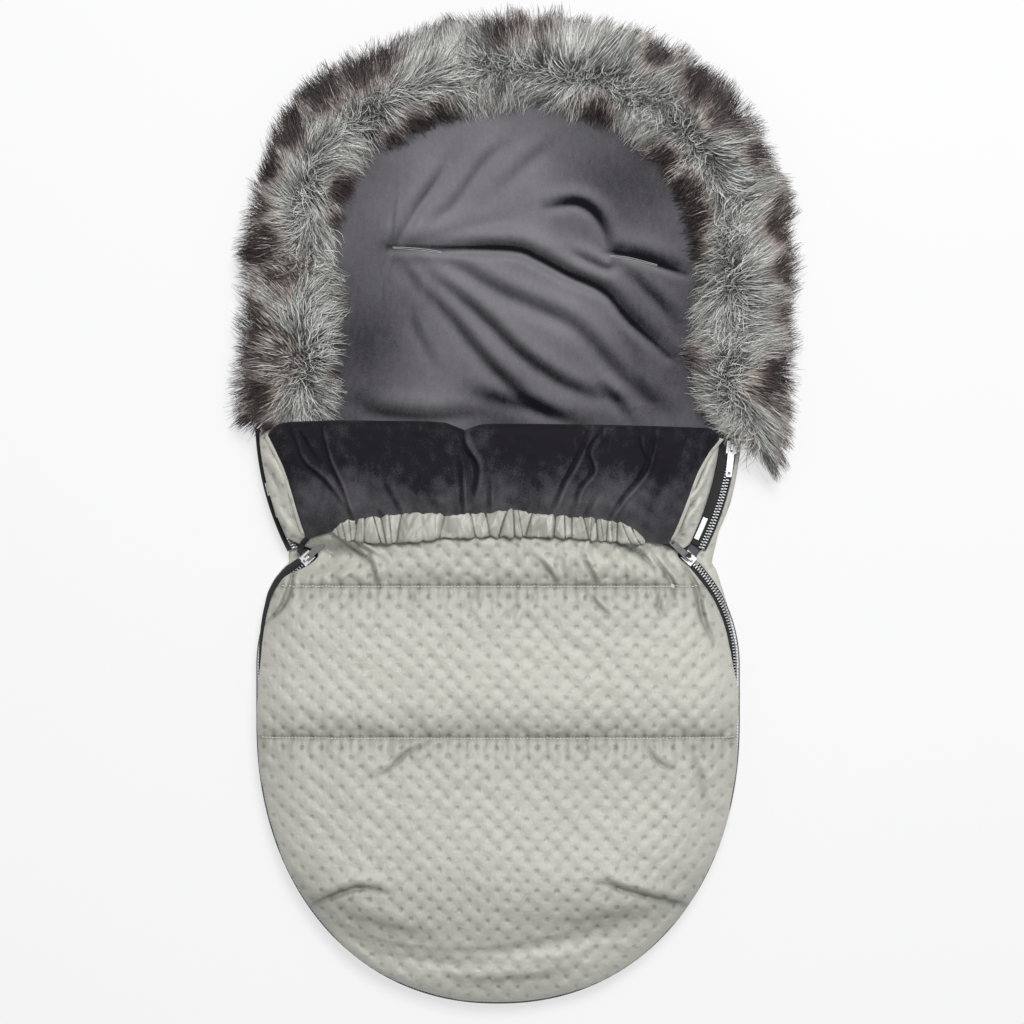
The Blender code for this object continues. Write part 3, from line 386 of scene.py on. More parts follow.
def ripples(seed, count, shortest, longest):
    """A smooth uneven height over the plan, about -1 to 1: many waves laid over each other."""
    draw = np.random.default_rng(seed)
    lengths = shortest * (longest / shortest) ** draw.random(count)
    turns = draw.random(count) * 2 * np.pi
    starts = draw.random(count) * 2 * np.pi
    weights = np.sqrt(lengths) / np.sqrt(np.sum(lengths) / 2)

    def height(x, y):
        """The waves' sum at these places."""
        total = np.zeros(np.broadcast(x, y).shape)
        for length, turn, start, weight in zip(lengths, turns, starts, weights):
            reach = (x * math.cos(turn) + y * math.sin(turn)) * 2 * np.pi / length
            total += weight * np.sin(reach + start)
        return total / 1.6

    return height


FOLD_STEPS = 40


def unit(vectors):
    """The same directions, each one long."""
    return vectors / np.linalg.norm(vectors, axis=-1, keepdims=True)


def run_of(points):
    """How far along a line each of its points lies."""
    return np.concatenate([[0], np.cumsum(np.linalg.norm(np.diff(points, axis=0), axis=1))])


def at_run(want, run, points):
    """Flat places on a line at the lengths wanted."""
    return np.stack([np.interp(want, run, points[:, k]) for k in (0, 1)], -1)


def smooth_line(points):
    """A curve through listed points, given in millimetres, with its direction."""
    points = np.array(points, float) * MM
    padded = np.concatenate([2 * points[:1] - points[1:2], points, 2 * points[-1:] - points[-2:-1]])
    spans = len(points) - 1
    places = []
    for share in np.linspace(0, spans - 1e-6, FOLD_STEPS):
        index = int(share)
        t = share - index
        a, b, c, d = padded[index : index + 4]
        bend, twist = 2 * a - 5 * b + 4 * c - d, 3 * b - a - 3 * c + d
        places.append(0.5 * (2 * b + (c - a) * t + bend * t**2 + twist * t**3))
    places = np.array(places)
    run = run_of(places)
    places = at_run(np.linspace(0, run[-1], FOLD_STEPS), run, places)
    return places, unit(np.gradient(places, axis=0))


def folded(x, y, folds):
    """Height of creases in cloth: each one rises on its left side and dips on its right.

    A fold is its line, its height, and its reach on the left and on the right, in millimetres.
    """
    flat_x, flat_y = np.ravel(x), np.ravel(y)
    total = np.zeros(flat_x.shape)
    for line, height, left, right in folds:
        places, along = smooth_line(line)
        reach = 4 * max(left, right) * MM
        low, high = places.min(0) - reach, places.max(0) + reach
        near = (flat_x > low[0]) & (flat_x < high[0]) & (flat_y > low[1]) & (flat_y < high[1])
        if not near.any():
            continue
        spot = np.stack([flat_x[near], flat_y[near]], 1)
        gaps = (spot[:, :1] - places[None, :, 0]) ** 2 + (spot[:, 1:] - places[None, :, 1]) ** 2
        nearest = np.argmin(gaps, 1)
        step = np.linalg.norm(places[1] - places[0]) + 1e-9
        past = ((spot - places[nearest]) * along[nearest]).sum(1)
        exact = np.clip(nearest + np.clip(past / step, -0.5, 0.5), 0, FOLD_STEPS - 1)
        low_node = np.minimum(exact.astype(int), FOLD_STEPS - 2)
        blend = (exact - low_node)[:, None]
        course = along[low_node] * (1 - blend) + along[low_node + 1] * blend
        offset = spot - (places[low_node] * (1 - blend) + places[low_node + 1] * blend)
        across = course[:, 0] * offset[:, 1] - course[:, 1] * offset[:, 0]
        past = (course * offset).sum(1)
        width = np.where(across > 0, left, right) * MM
        share = exact / (FOLD_STEPS - 1)
        fade = np.sin(np.pi * np.clip(share, 0.03, 0.97)) ** 0.5
        fade = fade * np.exp(-((past / (width + 2 * MM)) ** 2))
        q = across / width
        total[near] += height * MM * q * np.exp(0.5 * (1 - q**2)) * fade
    return total.reshape(np.shape(x))


BAKE_MAP = "OFBake"
PICTURE_WIDTH = 0.6
PICTURE_FOOT_Y = -0.52
PICTURE_MARGIN = 0.01


def seen_from_above(x, y, length):
    """Places on a baked picture that shows a piece from above, so much of it long."""
    return (x + PICTURE_WIDTH / 2) / PICTURE_WIDTH, (y - PICTURE_FOOT_Y) / length


def give_bake_map(piece, u, v):
    """Lays the piece's points flat on its baked picture, at the places u and v."""
    layer = piece.data.uv_layers.new(name=BAKE_MAP)
    corners = np.zeros(len(piece.data.loops), int)
    piece.data.loops.foreach_get("vertex_index", corners)
    layer.data.foreach_set("uv", np.stack([np.ravel(u)[corners], np.ravel(v)[corners]], 1).ravel())


# Satin quilting: heat-embossed dots in a staggered lattice, with the cloth puffed between.
DOT_SPACING = 0.0195
DOT_ROW_PAIR = 0.0200
DOT_DRIFT = 0.0011
DOT_DRIFT_WAVES = (12, 0.05, 0.25)
DOT_SHARPNESS = 0.85
DOT_SHARE = 0.30
QUILT_GREY = (0.560, 0.560, 0.505)
QUILT_DIM = (0.500, 0.500, 0.447)
# Painted shade: in the embossed dots, and in seams, creases and other sunken places.
QUILT_DOT_SHADE = (0.25, 0.25, 0.220)
QUILT_SHADE = (0.20, 0.20, 0.178)
THREAD_PITCH = 0.0007
SLUB_SIZE = 0.0022
CRIMP_SIZE = 0.0045
WRINKLE_SIZE = 0.010
UNEVEN_SIZE = 0.06
QUILT_RELIEF = 0.0015


def lattice(x, y, seed):
    """Each point's place in the lattice of dots, in rows and columns, slightly uneven."""
    sway = ripples(seed, *DOT_DRIFT_WAVES)
    return (x + DOT_DRIFT * sway(x, y)) / DOT_SPACING, (y + DOT_DRIFT * sway(y + 1, x)) / DOT_ROW_PAIR


def dot_fields(*lattices):
    """The places in the lattice that a mesh's layers carry, one layer after another."""
    names = ("dot_u", "dot_v")
    return {name: np.concatenate([np.ravel(dots[k]) for dots in lattices]) for k, name in enumerate(names)}


def embossing(u, v):
    """0 at each embossed dot and 1 at the middle of each puff between four dots."""
    return ((1 - np.cos(2 * np.pi * u) * np.cos(2 * np.pi * v)) / 2) ** DOT_SHARPNESS


def quilt_paint(shade):
    """Woven, slightly slubbed satin, creased round each dot, with painted shade in the dots and in sunken
    places.
    """
    place = shade.place()
    weave = shade.ribs(place, THREAD_PITCH, "X") + shade.ribs(place, THREAD_PITCH, "Y")
    slub = shade.cloud(place.stretched((1, 0.4, 1)), SLUB_SIZE)
    crimp = shade.cloud(place.stretched((1, 0.5, 1)), CRIMP_SIZE, 4)
    line = shade.cloud(place, WRINKLE_SIZE, 3) * 2 - 1
    wrinkle = (1 - shade.math("ABSOLUTE", line, 0.0)).most(0.0) ** 7
    wide = shade.cloud(place, UNEVEN_SIZE)
    u, v = shade.field("dot_u") * (2 * math.pi), shade.field("dot_v") * (2 * math.pi)
    puff = (1 - shade.math("COSINE", u, 0.0) * shade.math("COSINE", v, 0.0)) * 0.5
    dot = (1 - puff * (1 / DOT_SHARE)).most(0.0) ** 1.8
    around = (1 - puff * (0.3 / DOT_SHARE)).most(0.0) ** 2
    height = (1 - dot) * 0.45 - around * 0.30 + crimp * (around * 0.6 + 0.42)
    height = height + wrinkle * 0.15 + slub * 0.14 + weave * 0.025
    colour = (slub * 0.4 + wide * 0.6).between(QUILT_DIM, QUILT_GREY)
    hollow = shade.field("hollow").share()
    # Each dot gets painted shade, deeper where the painted shade of seams and creases lies; then the colour
    # takes that painted shade too.
    dot_shaded = (dot * (hollow * 1.3 + 0.34).least(0.85)).between(colour, QUILT_DOT_SHADE)
    return {
        "Base Color": hollow.between(dot_shaded, QUILT_SHADE),
        "Roughness": wide * 0.10 + 0.40 - dot * 0.12,
        "Normal": shade.bump(height, QUILT_RELIEF, 0.95),
    }


quilt_satin = finish_of(
    "quilt_satin",
    {"Specular IOR Level": 0.45, "Sheen Weight": 0.15, "Sheen Roughness": 0.4},
    quilt_paint,
)

BACK_OUTSET = 0.0072
BACK_FOOT_OUTSET = 0.0027
BACK_OUTSET_LENGTH = 0.05
BACK_LOPSIDE = 0.0042
BACK_EDGE_Z = 0.0085
BACK_ROLL = 0.012
BACK_LAP = 0.030
BACK_SEAM_Z = 0.0145
BACK_BORDER_SINK = 0.0016
BACK_BORDER_WIDTH = 0.010
BACK_BORDER_RUN = 0.006
BACK_COLUMNS = 209
BACK_PUFF = 0.0012
BACK_BORDER_PUFF = 0.0007
HOOD_TUCK = 0.004
# How far the shell swells out beside the waist, where the zips turn inward.
LEFT_SWELL = ((-150, 0), (-132, 1.6), (-116, 4), (-100, 7), (-86, 10.4), (-74, 12), (-62, 11.4))
LEFT_SWELL += ((-52, 7), (-44, 2.6), (-36, 0))
RIGHT_SWELL = ((-120, 0), (-105, 2), (-92, 4), (-80, 7), (-70, 10.6), (-62, 13.6), (-55, 13.4))
RIGHT_SWELL += ((-46, 8.6), (-35, 4), (-24, 0))


def back_outset(y):
    """How far the back panel reaches past the zips."""
    above_waist = ease((y - WAIST_Y) / BACK_OUTSET_LENGTH + 0.8)
    return BACK_FOOT_OUTSET + (BACK_OUTSET - BACK_FOOT_OUTSET) * above_waist


def back_sides(y):
    """Middle and half width of the back panel's silhouette."""
    neck = ease((y - UPPER_TOP_Y) / SHOULDER_LENGTH)
    body = np.maximum(*zip_arcs(y)) + back_outset(y)
    lopsided = BACK_LOPSIDE * ease((y - WAIST_Y + 0.01) / 0.04)
    return (HOOD_SHIFT - lopsided) * neck + lopsided, body + (HOOD_HALF_WIDTH - HOOD_TUCK - body) * neck


def shell_sides(y):
    """Middle and half width of the shell, which swells past the panel beside the waist."""
    middle, half = back_sides(y)
    left, right = read_off(y, LEFT_SWELL), read_off(y, RIGHT_SWELL)
    return middle + (right - left) / 2, half + (right + left) / 2


def back_shell():
    """The quilted underside, rolled up round its edge onto the lining's border."""
    rows = np.linspace(WIDEST_Y, HOOD_Y, 153)
    foot = (TOE_LENGTH + BACK_FOOT_OUTSET, TOE_FULLNESS, 101)
    head = (HOOD_HEIGHT - HOOD_TUCK, HOOD_FULLNESS, 100)
    x, y, inside, under = panel_plan(BACK_COLUMNS, rows, foot, shell_sides, head, BACK_LAP)
    roll = 1 - np.clip(inside / BACK_ROLL, 0, 1)
    rounding = 1 - np.sqrt(1 - roll**2)
    flat = BACK_EDGE_Z * rounding
    dots = lattice(x, y, 3)
    dimple = BACK_PUFF * (1 - embossing(*dots)) * (1 - rounding)
    border = BACK_SEAM_Z - (BACK_SEAM_Z - BACK_EDGE_Z) * roll**2.5
    border = border - BACK_BORDER_SINK * ease((inside - BACK_BORDER_WIDTH) / BACK_BORDER_RUN)
    wrapped = under > 0
    z = np.where(wrapped, border, flat + dimple)
    top_dots = BACK_BORDER_PUFF * (1 - embossing(*dots)) * ease(inside / BACK_BORDER_RUN)
    z = z - np.where(wrapped, top_dots, 0)
    deep, wide = x.shape
    faces = grid_faces(deep, wide, flip=True)
    piece = mesh_piece("back_shell_quilted", as_points(x, y, z), faces, quilt_satin, dot_fields(dots))
    u, v = seen_from_above(x, y, 1.0)
    give_bake_map(piece, u * 0.5 + np.where(wrapped, 0.5, 0.0), v)
    return piece


back_quilt = back_shell()
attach(back_quilt, "back")
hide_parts("back_shell", "back_wadding")


# Back lining
# Charcoal short-pile velvet laid over the back's wadding and sewn in along the border. Body
# weight and folding have left broad slanting folds that run from the harness slits.

# The velvet's shaded and lit colours: painted shade and painted sheen of one fabric.
VELVET_SHADED = (0.0105, 0.0095, 0.0135)
VELVET_LIT = (0.194, 0.188, 0.203)
LINING_Z = 0.0150
LINING_CROWN = 0.005
LINING_CROWN_REACH = 0.100
LINING_INSET = 0.0085
LINING_HEM = 0.02
LINING_SETTLE = 0.001
LINING_SIDE_TUCK = 0.004
LINING_FOOT_INSET = 0.004
LINING_HEAD_INSET = 0.010
# Waves in cloth are given by seed, count, shortest and longest; heights are in metres.
LINING_SWAY = 0.0010
LINING_SWAY_WAVES = (11, 14, 0.05, 0.20)
LINING_CREPE = 0.00018
LINING_CREPE_WAVES = (12, 16, 0.012, 0.04)
LONGEST_FOLD = ((-106, 262), (-80, 262), (-55, 261), (14, 260), (42, 250), (72, 234), (108, 217))
LONGEST_FOLD += ((132, 189), (172, 153))
LINING_FOLDS = (
    (LONGEST_FOLD, 7.0, 11, 5),
    (((-98, 252), (-48, 247), (3, 219), (49, 199), (83, 180), (129, 130), (168, 100)), 3.8, 9, 8),
    (((-80, 245), (-50, 222), (-11, 189), (26, 153), (72, 123), (117, 109)), 4.4, 8, 7),
    (((-84, 230), (-48, 194), (-11, 148), (37, 104), (83, 84)), 4.0, 8, 7),
    (((-101, 247), (-82, 226), (-84, 189), (-62, 143)), 2.2, 6, 6),
    (((-106, 264), (-92, 286), (-82, 304), (-66, 326), (-54, 348)), 3.2, 7, 5),
    (((-74, 282), (-48, 304), (-29, 330), (-14, 350), (4, 366)), 2.4, 7, 6),
    (((0, 318), (24, 345), (50, 366)), 2.0, 8, 7),
    (((-92, 268), (-60, 276), (-26, 284), (10, 290)), 1.6, 8, 7),
    (((50, 303), (78, 306), (97, 296), (109, 276), (113, 254)), 5.2, 7, 5),
    (((72, 258), (96, 246), (111, 241), (116, 252)), 3.4, 6, 5),
    (((110, 258), (143, 251), (160, 245), (186, 236)), 5.0, 10, 4),
    (((126, 240), (143, 226), (170, 198), (176, 180)), 2.4, 7, 6),
    (((-101, 325), (-104, 290), (-106, 262), (-114, 231), (-116, 203)), 1.3, 2.5, 2.5),
    (((-140, 108), (-118, 96), (-70, 92), (-20, 96)), 3.0, 10, 8),
    (((-30, 118), (20, 104), (60, 92)), 2.4, 8, 7),
    (((100, 128), (120, 108), (132, 90)), 2.6, 6, 6),
    (((130, 180), (142, 140), (150, 100)), 2.2, 9, 8),
)
# Patches of painted sheen and painted shade, where the pile has been brushed to a lighter or darker lie:
# place, reach, amount.
PILE_SHEEN_LEVEL = 0.49
PILE_SHEEN_PATCHES = (
    ((-20, 330), 75, 0.75), ((-30, 290), 60, 0.6), ((60, 200), 60, 0.55), ((-60, 130), 55, 0.45),
    ((130, 330), 55, -0.35), ((150, 210), 40, -0.2), ((-130, 170), 40, -0.35), ((0, 90), 40, -0.3),
    ((-140, 120), 70, -0.26), ((172, 150), 60, -0.28), ((20, 110), 60, -0.16),
)
SLOPE_SHADE = 0.92
SLOPE_STEP = 0.001
BRUSHED_SIZE = 0.028
STREAK_SIZE = 0.0045
PILE_SIZE = 0.0013
PILE_RELIEF = 0.0006


def velvet_paint(shade):
    """Pile in brushed patches; its colour carries painted sheen and painted shade from the mesh, lighter
    where it leans to the light.
    """
    place = shade.place()
    brushed = shade.cloud(place.stretched((1, 0.75, 1)), BRUSHED_SIZE, 5)
    streak = shade.cloud(place.stretched((1, 0.45, 1)), STREAK_SIZE, 4)
    pile = shade.cloud(place, PILE_SIZE, 2)
    nap = shade.field("nap")
    tone = nap * 0.62 + brushed * 0.16 + streak * 0.22 + pile * 0.36 - 0.222
    return {
        "Base Color": tone.share().between(VELVET_SHADED, VELVET_LIT),
        "Normal": shade.bump(pile * 0.6 + streak, PILE_RELIEF, 0.7),
    }


velvet = finish_of(
    "velvet",
    {
        "Roughness": 0.85,
        "Specular IOR Level": 0.15,
        "Sheen Weight": 0.15,
        "Sheen Roughness": 0.30,
        "Sheen Tint": (0.75, 0.75, 0.78, 1),
    },
    velvet_paint,
)


def lining_height(inside):
    """The smooth crown of the padded back under its lining."""
    inward = 1 - np.clip(inside / LINING_CROWN_REACH, 0, 1)
    return LINING_Z + LINING_CROWN * (1 - inward**2) - LINING_SETTLE


def lining_sides(y):
    """Middle and half width of the lining, which is sewn in under the border."""
    middle, half = back_sides(y)
    return middle, half - back_outset(y) + LINING_SIDE_TUCK - LINING_INSET * 0.5


def painted_pile_sheen(x, y):
    """Painted sheen where the velvet's pile has been brushed to its lighter lie, 0 to 1."""
    total = np.full(np.shape(x), PILE_SHEEN_LEVEL)
    for (px, py), reach, weight in PILE_SHEEN_PATCHES:
        total += weight * np.exp(-(((x - px * MM) ** 2 + (y - py * MM) ** 2) / (reach * MM) ** 2))
    return np.clip(total, 0, 1)


def lining_relief(x, y):
    """Folds and unevenness of the lining above its smooth crown."""
    return folded(x, y, LINING_FOLDS) + LINING_SWAY * ripples(*LINING_SWAY_WAVES)(x, y)


def painted_slope_shade(relief, x, y):
    """Painted shade where the velvet falls away from the light, and painted light where it faces it."""
    rise = relief(x, y + SLOPE_STEP) - relief(x, y - SLOPE_STEP)
    return -SLOPE_SHADE * rise / (2 * SLOPE_STEP)


def back_lining():
    """The velvet that the child lies on, from the toe to the hood."""
    rows = np.concatenate([np.linspace(WIDEST_Y, 0.05, 45), np.linspace(0.052, HOOD_Y, 70)])
    foot = (TOE_LENGTH - LINING_FOOT_INSET, TOE_FULLNESS, 34)
    head = (HOOD_HEIGHT - HOOD_TUCK - LINING_HEAD_INSET, HOOD_FULLNESS, 150)
    x, y, inside, _ = panel_plan(261, rows, foot, lining_sides, head, 0.0)
    crepe = LINING_CREPE * ripples(*LINING_CREPE_WAVES)(x, y)
    z = lining_height(inside) + (lining_relief(x, y) + crepe) * ease(inside / LINING_HEM)
    # Painted light on the lining: the brushed pile's painted sheen and the slopes' painted shade.
    fields = {"nap": np.clip(painted_pile_sheen(x, y) + painted_slope_shade(lining_relief, x, y), -0.6, 1.3)}
    piece = mesh_piece("back_lining_velvet", as_points(x, y, z), grid_faces(*x.shape), velvet, fields)
    give_bake_map(piece, *seen_from_above(x, y, 1.0))
    return piece


back_velvet = back_lining()
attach(back_velvet, "back")
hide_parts("back_lining")

# The two harness slits: lips that are turned in and stitched close, with a black strip in the cut between
# them as painted shadow.
SLIT_LINES = {
    "left": ((-106, 259.4), (-90, 258.6), (-72, 257), (-57, 255)),
    "right": ((112, 251), (128, 249.5), (144, 246), (160, 242)),
}
SLIT_HALF_GAP = 0.00045
LIP_RADIUS = 0.00050
LIP_LIFT = 0.0003
CUT_LIFT = 0.0001
LIP_GREY = (0.30, 0.30, 0.305, 1)
SLIT_SHADOW = (0.004, 0.004, 0.005, 1)


def swept_faces(rings, sides, turn=1, first=0):
    """Faces of a closed body of equal rings of points, which turn -1 faces the other way."""
    faces = []
    for ring in range(rings - 1):
        for k in range(sides):
            a = first + ring * sides + k
            b = first + ring * sides + (k + 1) % sides
            faces.append((a, b, b + sides, a + sides)[::turn])
    bottom = tuple(first + k for k in range(sides))
    top = tuple(first + (rings - 1) * sides + k for k in range(sides))
    return faces + [bottom[::-turn], top[::turn]]


def tube(line, radius, sides=8):
    """Points and faces of a closed round thread along a line."""
    line = np.array(line)
    course = unit(np.gradient(line, axis=0))
    across = unit(np.cross(course, (0, 0, 1.0)))
    over = np.cross(across, course)
    turns = np.arange(sides) * 2 * np.pi / sides
    ring = across[:, None] * np.cos(turns)[None, :, None] + over[:, None] * np.sin(turns)[None, :, None]
    points = (line[:, None] + ring * radius).reshape(-1, 3)
    return points, swept_faces(len(line), sides)


def joined(parts):
    """One mesh's points and faces from those of several."""
    points, faces, first = [], [], 0
    for part_points, part_faces in parts:
        points.append(part_points)
        faces += [tuple(first + k for k in face) for face in part_faces]
        first += len(part_points)
    return np.concatenate(points), faces


def on_lining(x, y):
    """Height of the lining's velvet at any place."""
    middle, half = lining_sides(y)
    inside = half - np.abs(x - middle)
    return lining_height(inside) + lining_relief(x, y) * ease(inside / LINING_HEM)


def plain(shade):
    """Nothing changes over the surface."""
    return {}


lip_cloth = finish_of("lip_cloth", {"Base Color": LIP_GREY, "Roughness": 0.8}, plain)
slit_shadow = finish_of("slit_shadow", {"Base Color": SLIT_SHADOW, "Roughness": 0.95}, plain)
for name, points in SLIT_LINES.items():
    places, _ = smooth_line(points)
    parts = []
    spread = np.sin(np.linspace(0, np.pi, len(places))) ** 0.5 * SLIT_HALF_GAP + LIP_RADIUS * 0.7
    for side in (-1, 1):
        x, y = places[:, 0], places[:, 1] + side * spread
        parts.append(tube(np.stack([x, y, on_lining(x, y) + LIP_LIFT], 1), LIP_RADIUS))
    lips = mesh_piece(f"slit_lips_{name}", *joined(parts), lip_cloth)
    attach(lips, "back")
    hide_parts(f"slit_binding_{name}")
    # A black strip fills the cut as its painted shadow.
    cut = tube(np.column_stack([places, on_lining(*places.T) + CUT_LIFT]), SLIT_HALF_GAP)
    dark = mesh_piece(f"slit_opening_{name}", *cut, slit_shadow)
    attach(dark, "back")


# Front cover
# Quilted satin over thick wadding in three channels, sewn across at two lines. Its edge puffs
# out over the long zip, and it is drawn in at the waist. Velvet lines it inside.

COVER_TOP_Y = 0.080
COVER_REACH = ((-215, 2.6), (-196, 2.8), (-178, 1.0), (-160, -3.0), (-140, -5.4), (-90, -7.0), (-56, -9.0))
COVER_REACH += ((-47, -12), (-38, -13.4), (90, -13.4))
COVER_FOOT_LENGTH = 0.2825
COVER_LAP = 0.012
SEWN_Z = 0.0201
EDGE_LIFT = 0.0030
ARCH_RISE = 0.026
ARCH_REACH = 0.120
ARCH_FULLNESS = 2.1
PUFF = 0.0074
PUFF_REACH = 0.050
CHANNEL_SEAMS = (-0.231, -0.080)
CHANNEL_REACH = 0.045
WAIST_DIP_SHARE = 0.80
WAIST_DIP_LENGTH = 0.042
WAIST_DIP_REACH = 0.060
DOT_DEPTH = 0.0021
DOT_UNLIKE = 0.32
DOT_UNLIKE_WAVES = (28, 20, 0.03, 0.10)
SEWN_FLAT = 0.0045
TAUT_RUN = 0.008
TAUT_REACH = 0.030
EDGE_FREE = 0.012
UNEVEN_HEIGHT = 0.0013
UNEVEN_WAVES = (21, 16, 0.06, 0.24)
CREPE_HEIGHT = 0.00050
CREPE_WAVES = (22, 34, 0.007, 0.05)
PUCKER_PITCH = 0.0060
PUCKER_HEIGHT = 0.0011
PUCKER_REACH = 0.007
PUCKER_WAVES = (23, 14, 0.02, 0.09)
LONG_PUCKER_HEIGHT = 0.0026
LONG_PUCKER_REACH = 0.017
LONG_PUCKER_WAVES = (24, 24, 0.008, 0.026)
GATHER_HEIGHT = 0.0032
GATHER_REACH = 0.028
GATHER_WAVES = (25, 24, 0.009, 0.026)
GATHER_Y = -0.048
RIM_HEIGHT = 0.0009
RIM_REACH = 0.014
RIM_WAVES = (26, 16, 0.010, 0.030)
OUTLINE_SWAY = 0.0042
OUTLINE_SWAY_WAVES = (27, 10, 0.05, 0.16)
GROOVE_DEPTH = 0.0034
GROOVE_REACH = 0.0036
GROOVE_END = 0.006
GROOVE_END_RUN = 0.030
TOE_CREASE = ((-205, -406), (-161, -413), (-99, -434), (-30, -438), (32, -430), (101, -414), (135, -403))
TOE_CREASE += ((187, -388),)
QUILT_FOLDS = (
    (TOE_CREASE, 6.4, 34, 13),
    (((-120, -445), (-60, -452), (0, -454), (60, -450), (110, -438)), 1.6, 5, 5),
    (((-190, -399), (-183, -393), (-147, -378), (-130, -376), (-112, -380)), 4.4, 6, 3),
    (((100, -371), (111, -372), (125, -378), (160, -388), (196, -398)), 4.4, 6, 3),
    (((-60, -460), (-20, -468), (40, -463), (80, -452)), 2.2, 8, 6),
    (((-150, -400), (-110, -412), (-60, -420)), 1.6, 7, 6),
    (((60, -408), (100, -404), (140, -396)), 1.6, 7, 6),
    (((-152, -34), (-137, -46), (-124, -56), (-118, -80)), 4.4, 3, 2.2),
    (((-146, -30), (-128, -44), (-113, -52)), 3.0, 2.6, 2.2),
    (((40, -50), (47, -57), (62, -77)), 3.2, 3, 2.2),
    (((84, -50), (90, -57), (101, -77)), 3.2, 3, 2.2),
    (((112, -28), (128, -38), (150, -52), (158, -62)), 4.0, 3.4, 2.2),
    (((148, -36), (152, -44), (165, -60), (176, -77), (177, -92)), 4.4, 3.4, 2.2),
    (((182, -48), (186, -53), (200, -76), (203, -92), (207, -112), (217, -134)), 5.6, 3.6, 2.6),
    (((-232, -113), (-222, -104), (-215, -94), (-211, -82), (-208, -66), (-203, -50)), 5.4, 3.6, 2.6),
    (((92, -84), (98, -94), (112, -108)), 2.6, 3, 2.2),
    (((163, -84), (162, -98), (164, -110)), 2.6, 3, 2.2),
    (((20, -82), (22, -96), (18, -110)), 1.2, 3, 3),
    (((-20, -84), (-24, -98), (-21, -112)), 1.1, 3, 3),
    (((-120, -266), (-109, -259), (-92, -243), (-75, -234)), 3.0, 4, 2.6),
    (((150, -236), (158, -250), (176, -262)), 2.6, 4, 2.6),
    (((196, -236), (205, -262), (214, -300)), 1.6, 6, 5),
    (((216, 54), (204, 32), (196, 17), (180, 1), (168, -18)), 5.2, 3.4, 2.2),
    (((204, 12), (199, 4), (187, -12), (184, -33)), 3.8, 3, 2.2),
    (((222, 30), (214, 10), (204, -8)), 2.8, 3, 2.2),
    (((-229, 8), (-225, -5), (-213, -20), (-209, -33)), 4.2, 3, 2.2),
    (((-232, 50), (-222, 30), (-214, 14)), 2.4, 4, 2.6),
)
LEFT_FLAP_REACH = 0.0034
LEFT_SPREAD = ((-190, 0), (-160, 3.0), (-140, 4.0), (-120, 3.4), (-90, 3.0), (-72, 2.4), (-63, 0), (90, 0))
LEFT_FLAP_Z = 0.0268
FLAP_LIFT_REACH = 0.030
FLAP_FOOT_Y = -0.045
FLAP_RUN = 0.016
SIDE_ZIP_FOOT_Y = -0.057
WAIST_RUN = 0.020
SWELL_RUN = 0.014


def cover_half(y):
    """Half width of the cover where both its sides are alike, drawn in at the waist."""
    low, high = zip_arcs(y)
    return low + (high - low) * ease((y - SIDE_ZIP_FOOT_Y) / WAIST_RUN) + read_off(y, COVER_REACH)


def flap(y):
    """Where the cover's left edge laps over its side zip, 0 to 1."""
    return ease((y - FLAP_FOOT_Y) / FLAP_RUN)


def cover_sides(y):
    """The cover is cut back from its right side zip, and laps over the left one."""
    right = cover_half(y)
    spread = read_off(y, LEFT_SPREAD)
    spread = spread + read_off(y, LEFT_SWELL) * ease((SIDE_ZIP_FOOT_Y - y) / SWELL_RUN)
    left = right + spread + (zip_half(y) + LEFT_FLAP_REACH - right) * flap(y)
    return (right - left) / 2, (right + left) / 2


def flap_lift(x, y, inside):
    """How far the lapped left edge is raised by the zip under it."""
    return (LEFT_FLAP_Z - SEWN_Z) * flap(y) * (x < 0) * np.exp(-inside / FLAP_LIFT_REACH)


def waist_left(inside, y):
    """What the drawn-in waist leaves of the cover's rise."""
    near = np.exp(-(((y - WAIST_Y) / WAIST_DIP_LENGTH) ** 2) * 2.6)
    beside = np.clip(1 - inside / WAIST_DIP_REACH, 0, 1)
    return 1 - WAIST_DIP_SHARE * near * beside


def seam_distance(y):
    """How far a place lies from the nearer sewn line."""
    return np.min([np.abs(y - seam) for seam in CHANNEL_SEAMS], axis=0)


def pouch_ceiling(inside, y):
    """How far the cover arches up over the pouch from its sewn edge."""
    inward = 1 - np.clip(inside / ARCH_REACH, 0, 1)
    arch = (1 - inward**ARCH_FULLNESS) ** (1 / ARCH_FULLNESS)
    return ARCH_RISE * arch * waist_left(inside, y)


def cover_smooth(inside, y):
    """Height of the cover's outside without dots and creases."""
    inward = 1 - np.clip(inside / PUFF_REACH, 0, 1)
    channel = 1 - (1 - np.clip(seam_distance(y) / CHANNEL_REACH, 0, 1)) ** 3.0
    groove = GROOVE_DEPTH * np.exp(-seam_distance(y) / GROOVE_REACH)
    groove = groove * ease((inside - GROOVE_END) / GROOVE_END_RUN)
    puff = PUFF * (1 - inward**2) * channel * waist_left(inside, y)
    return SEWN_Z + EDGE_LIFT + pouch_ceiling(inside, y) + puff - groove


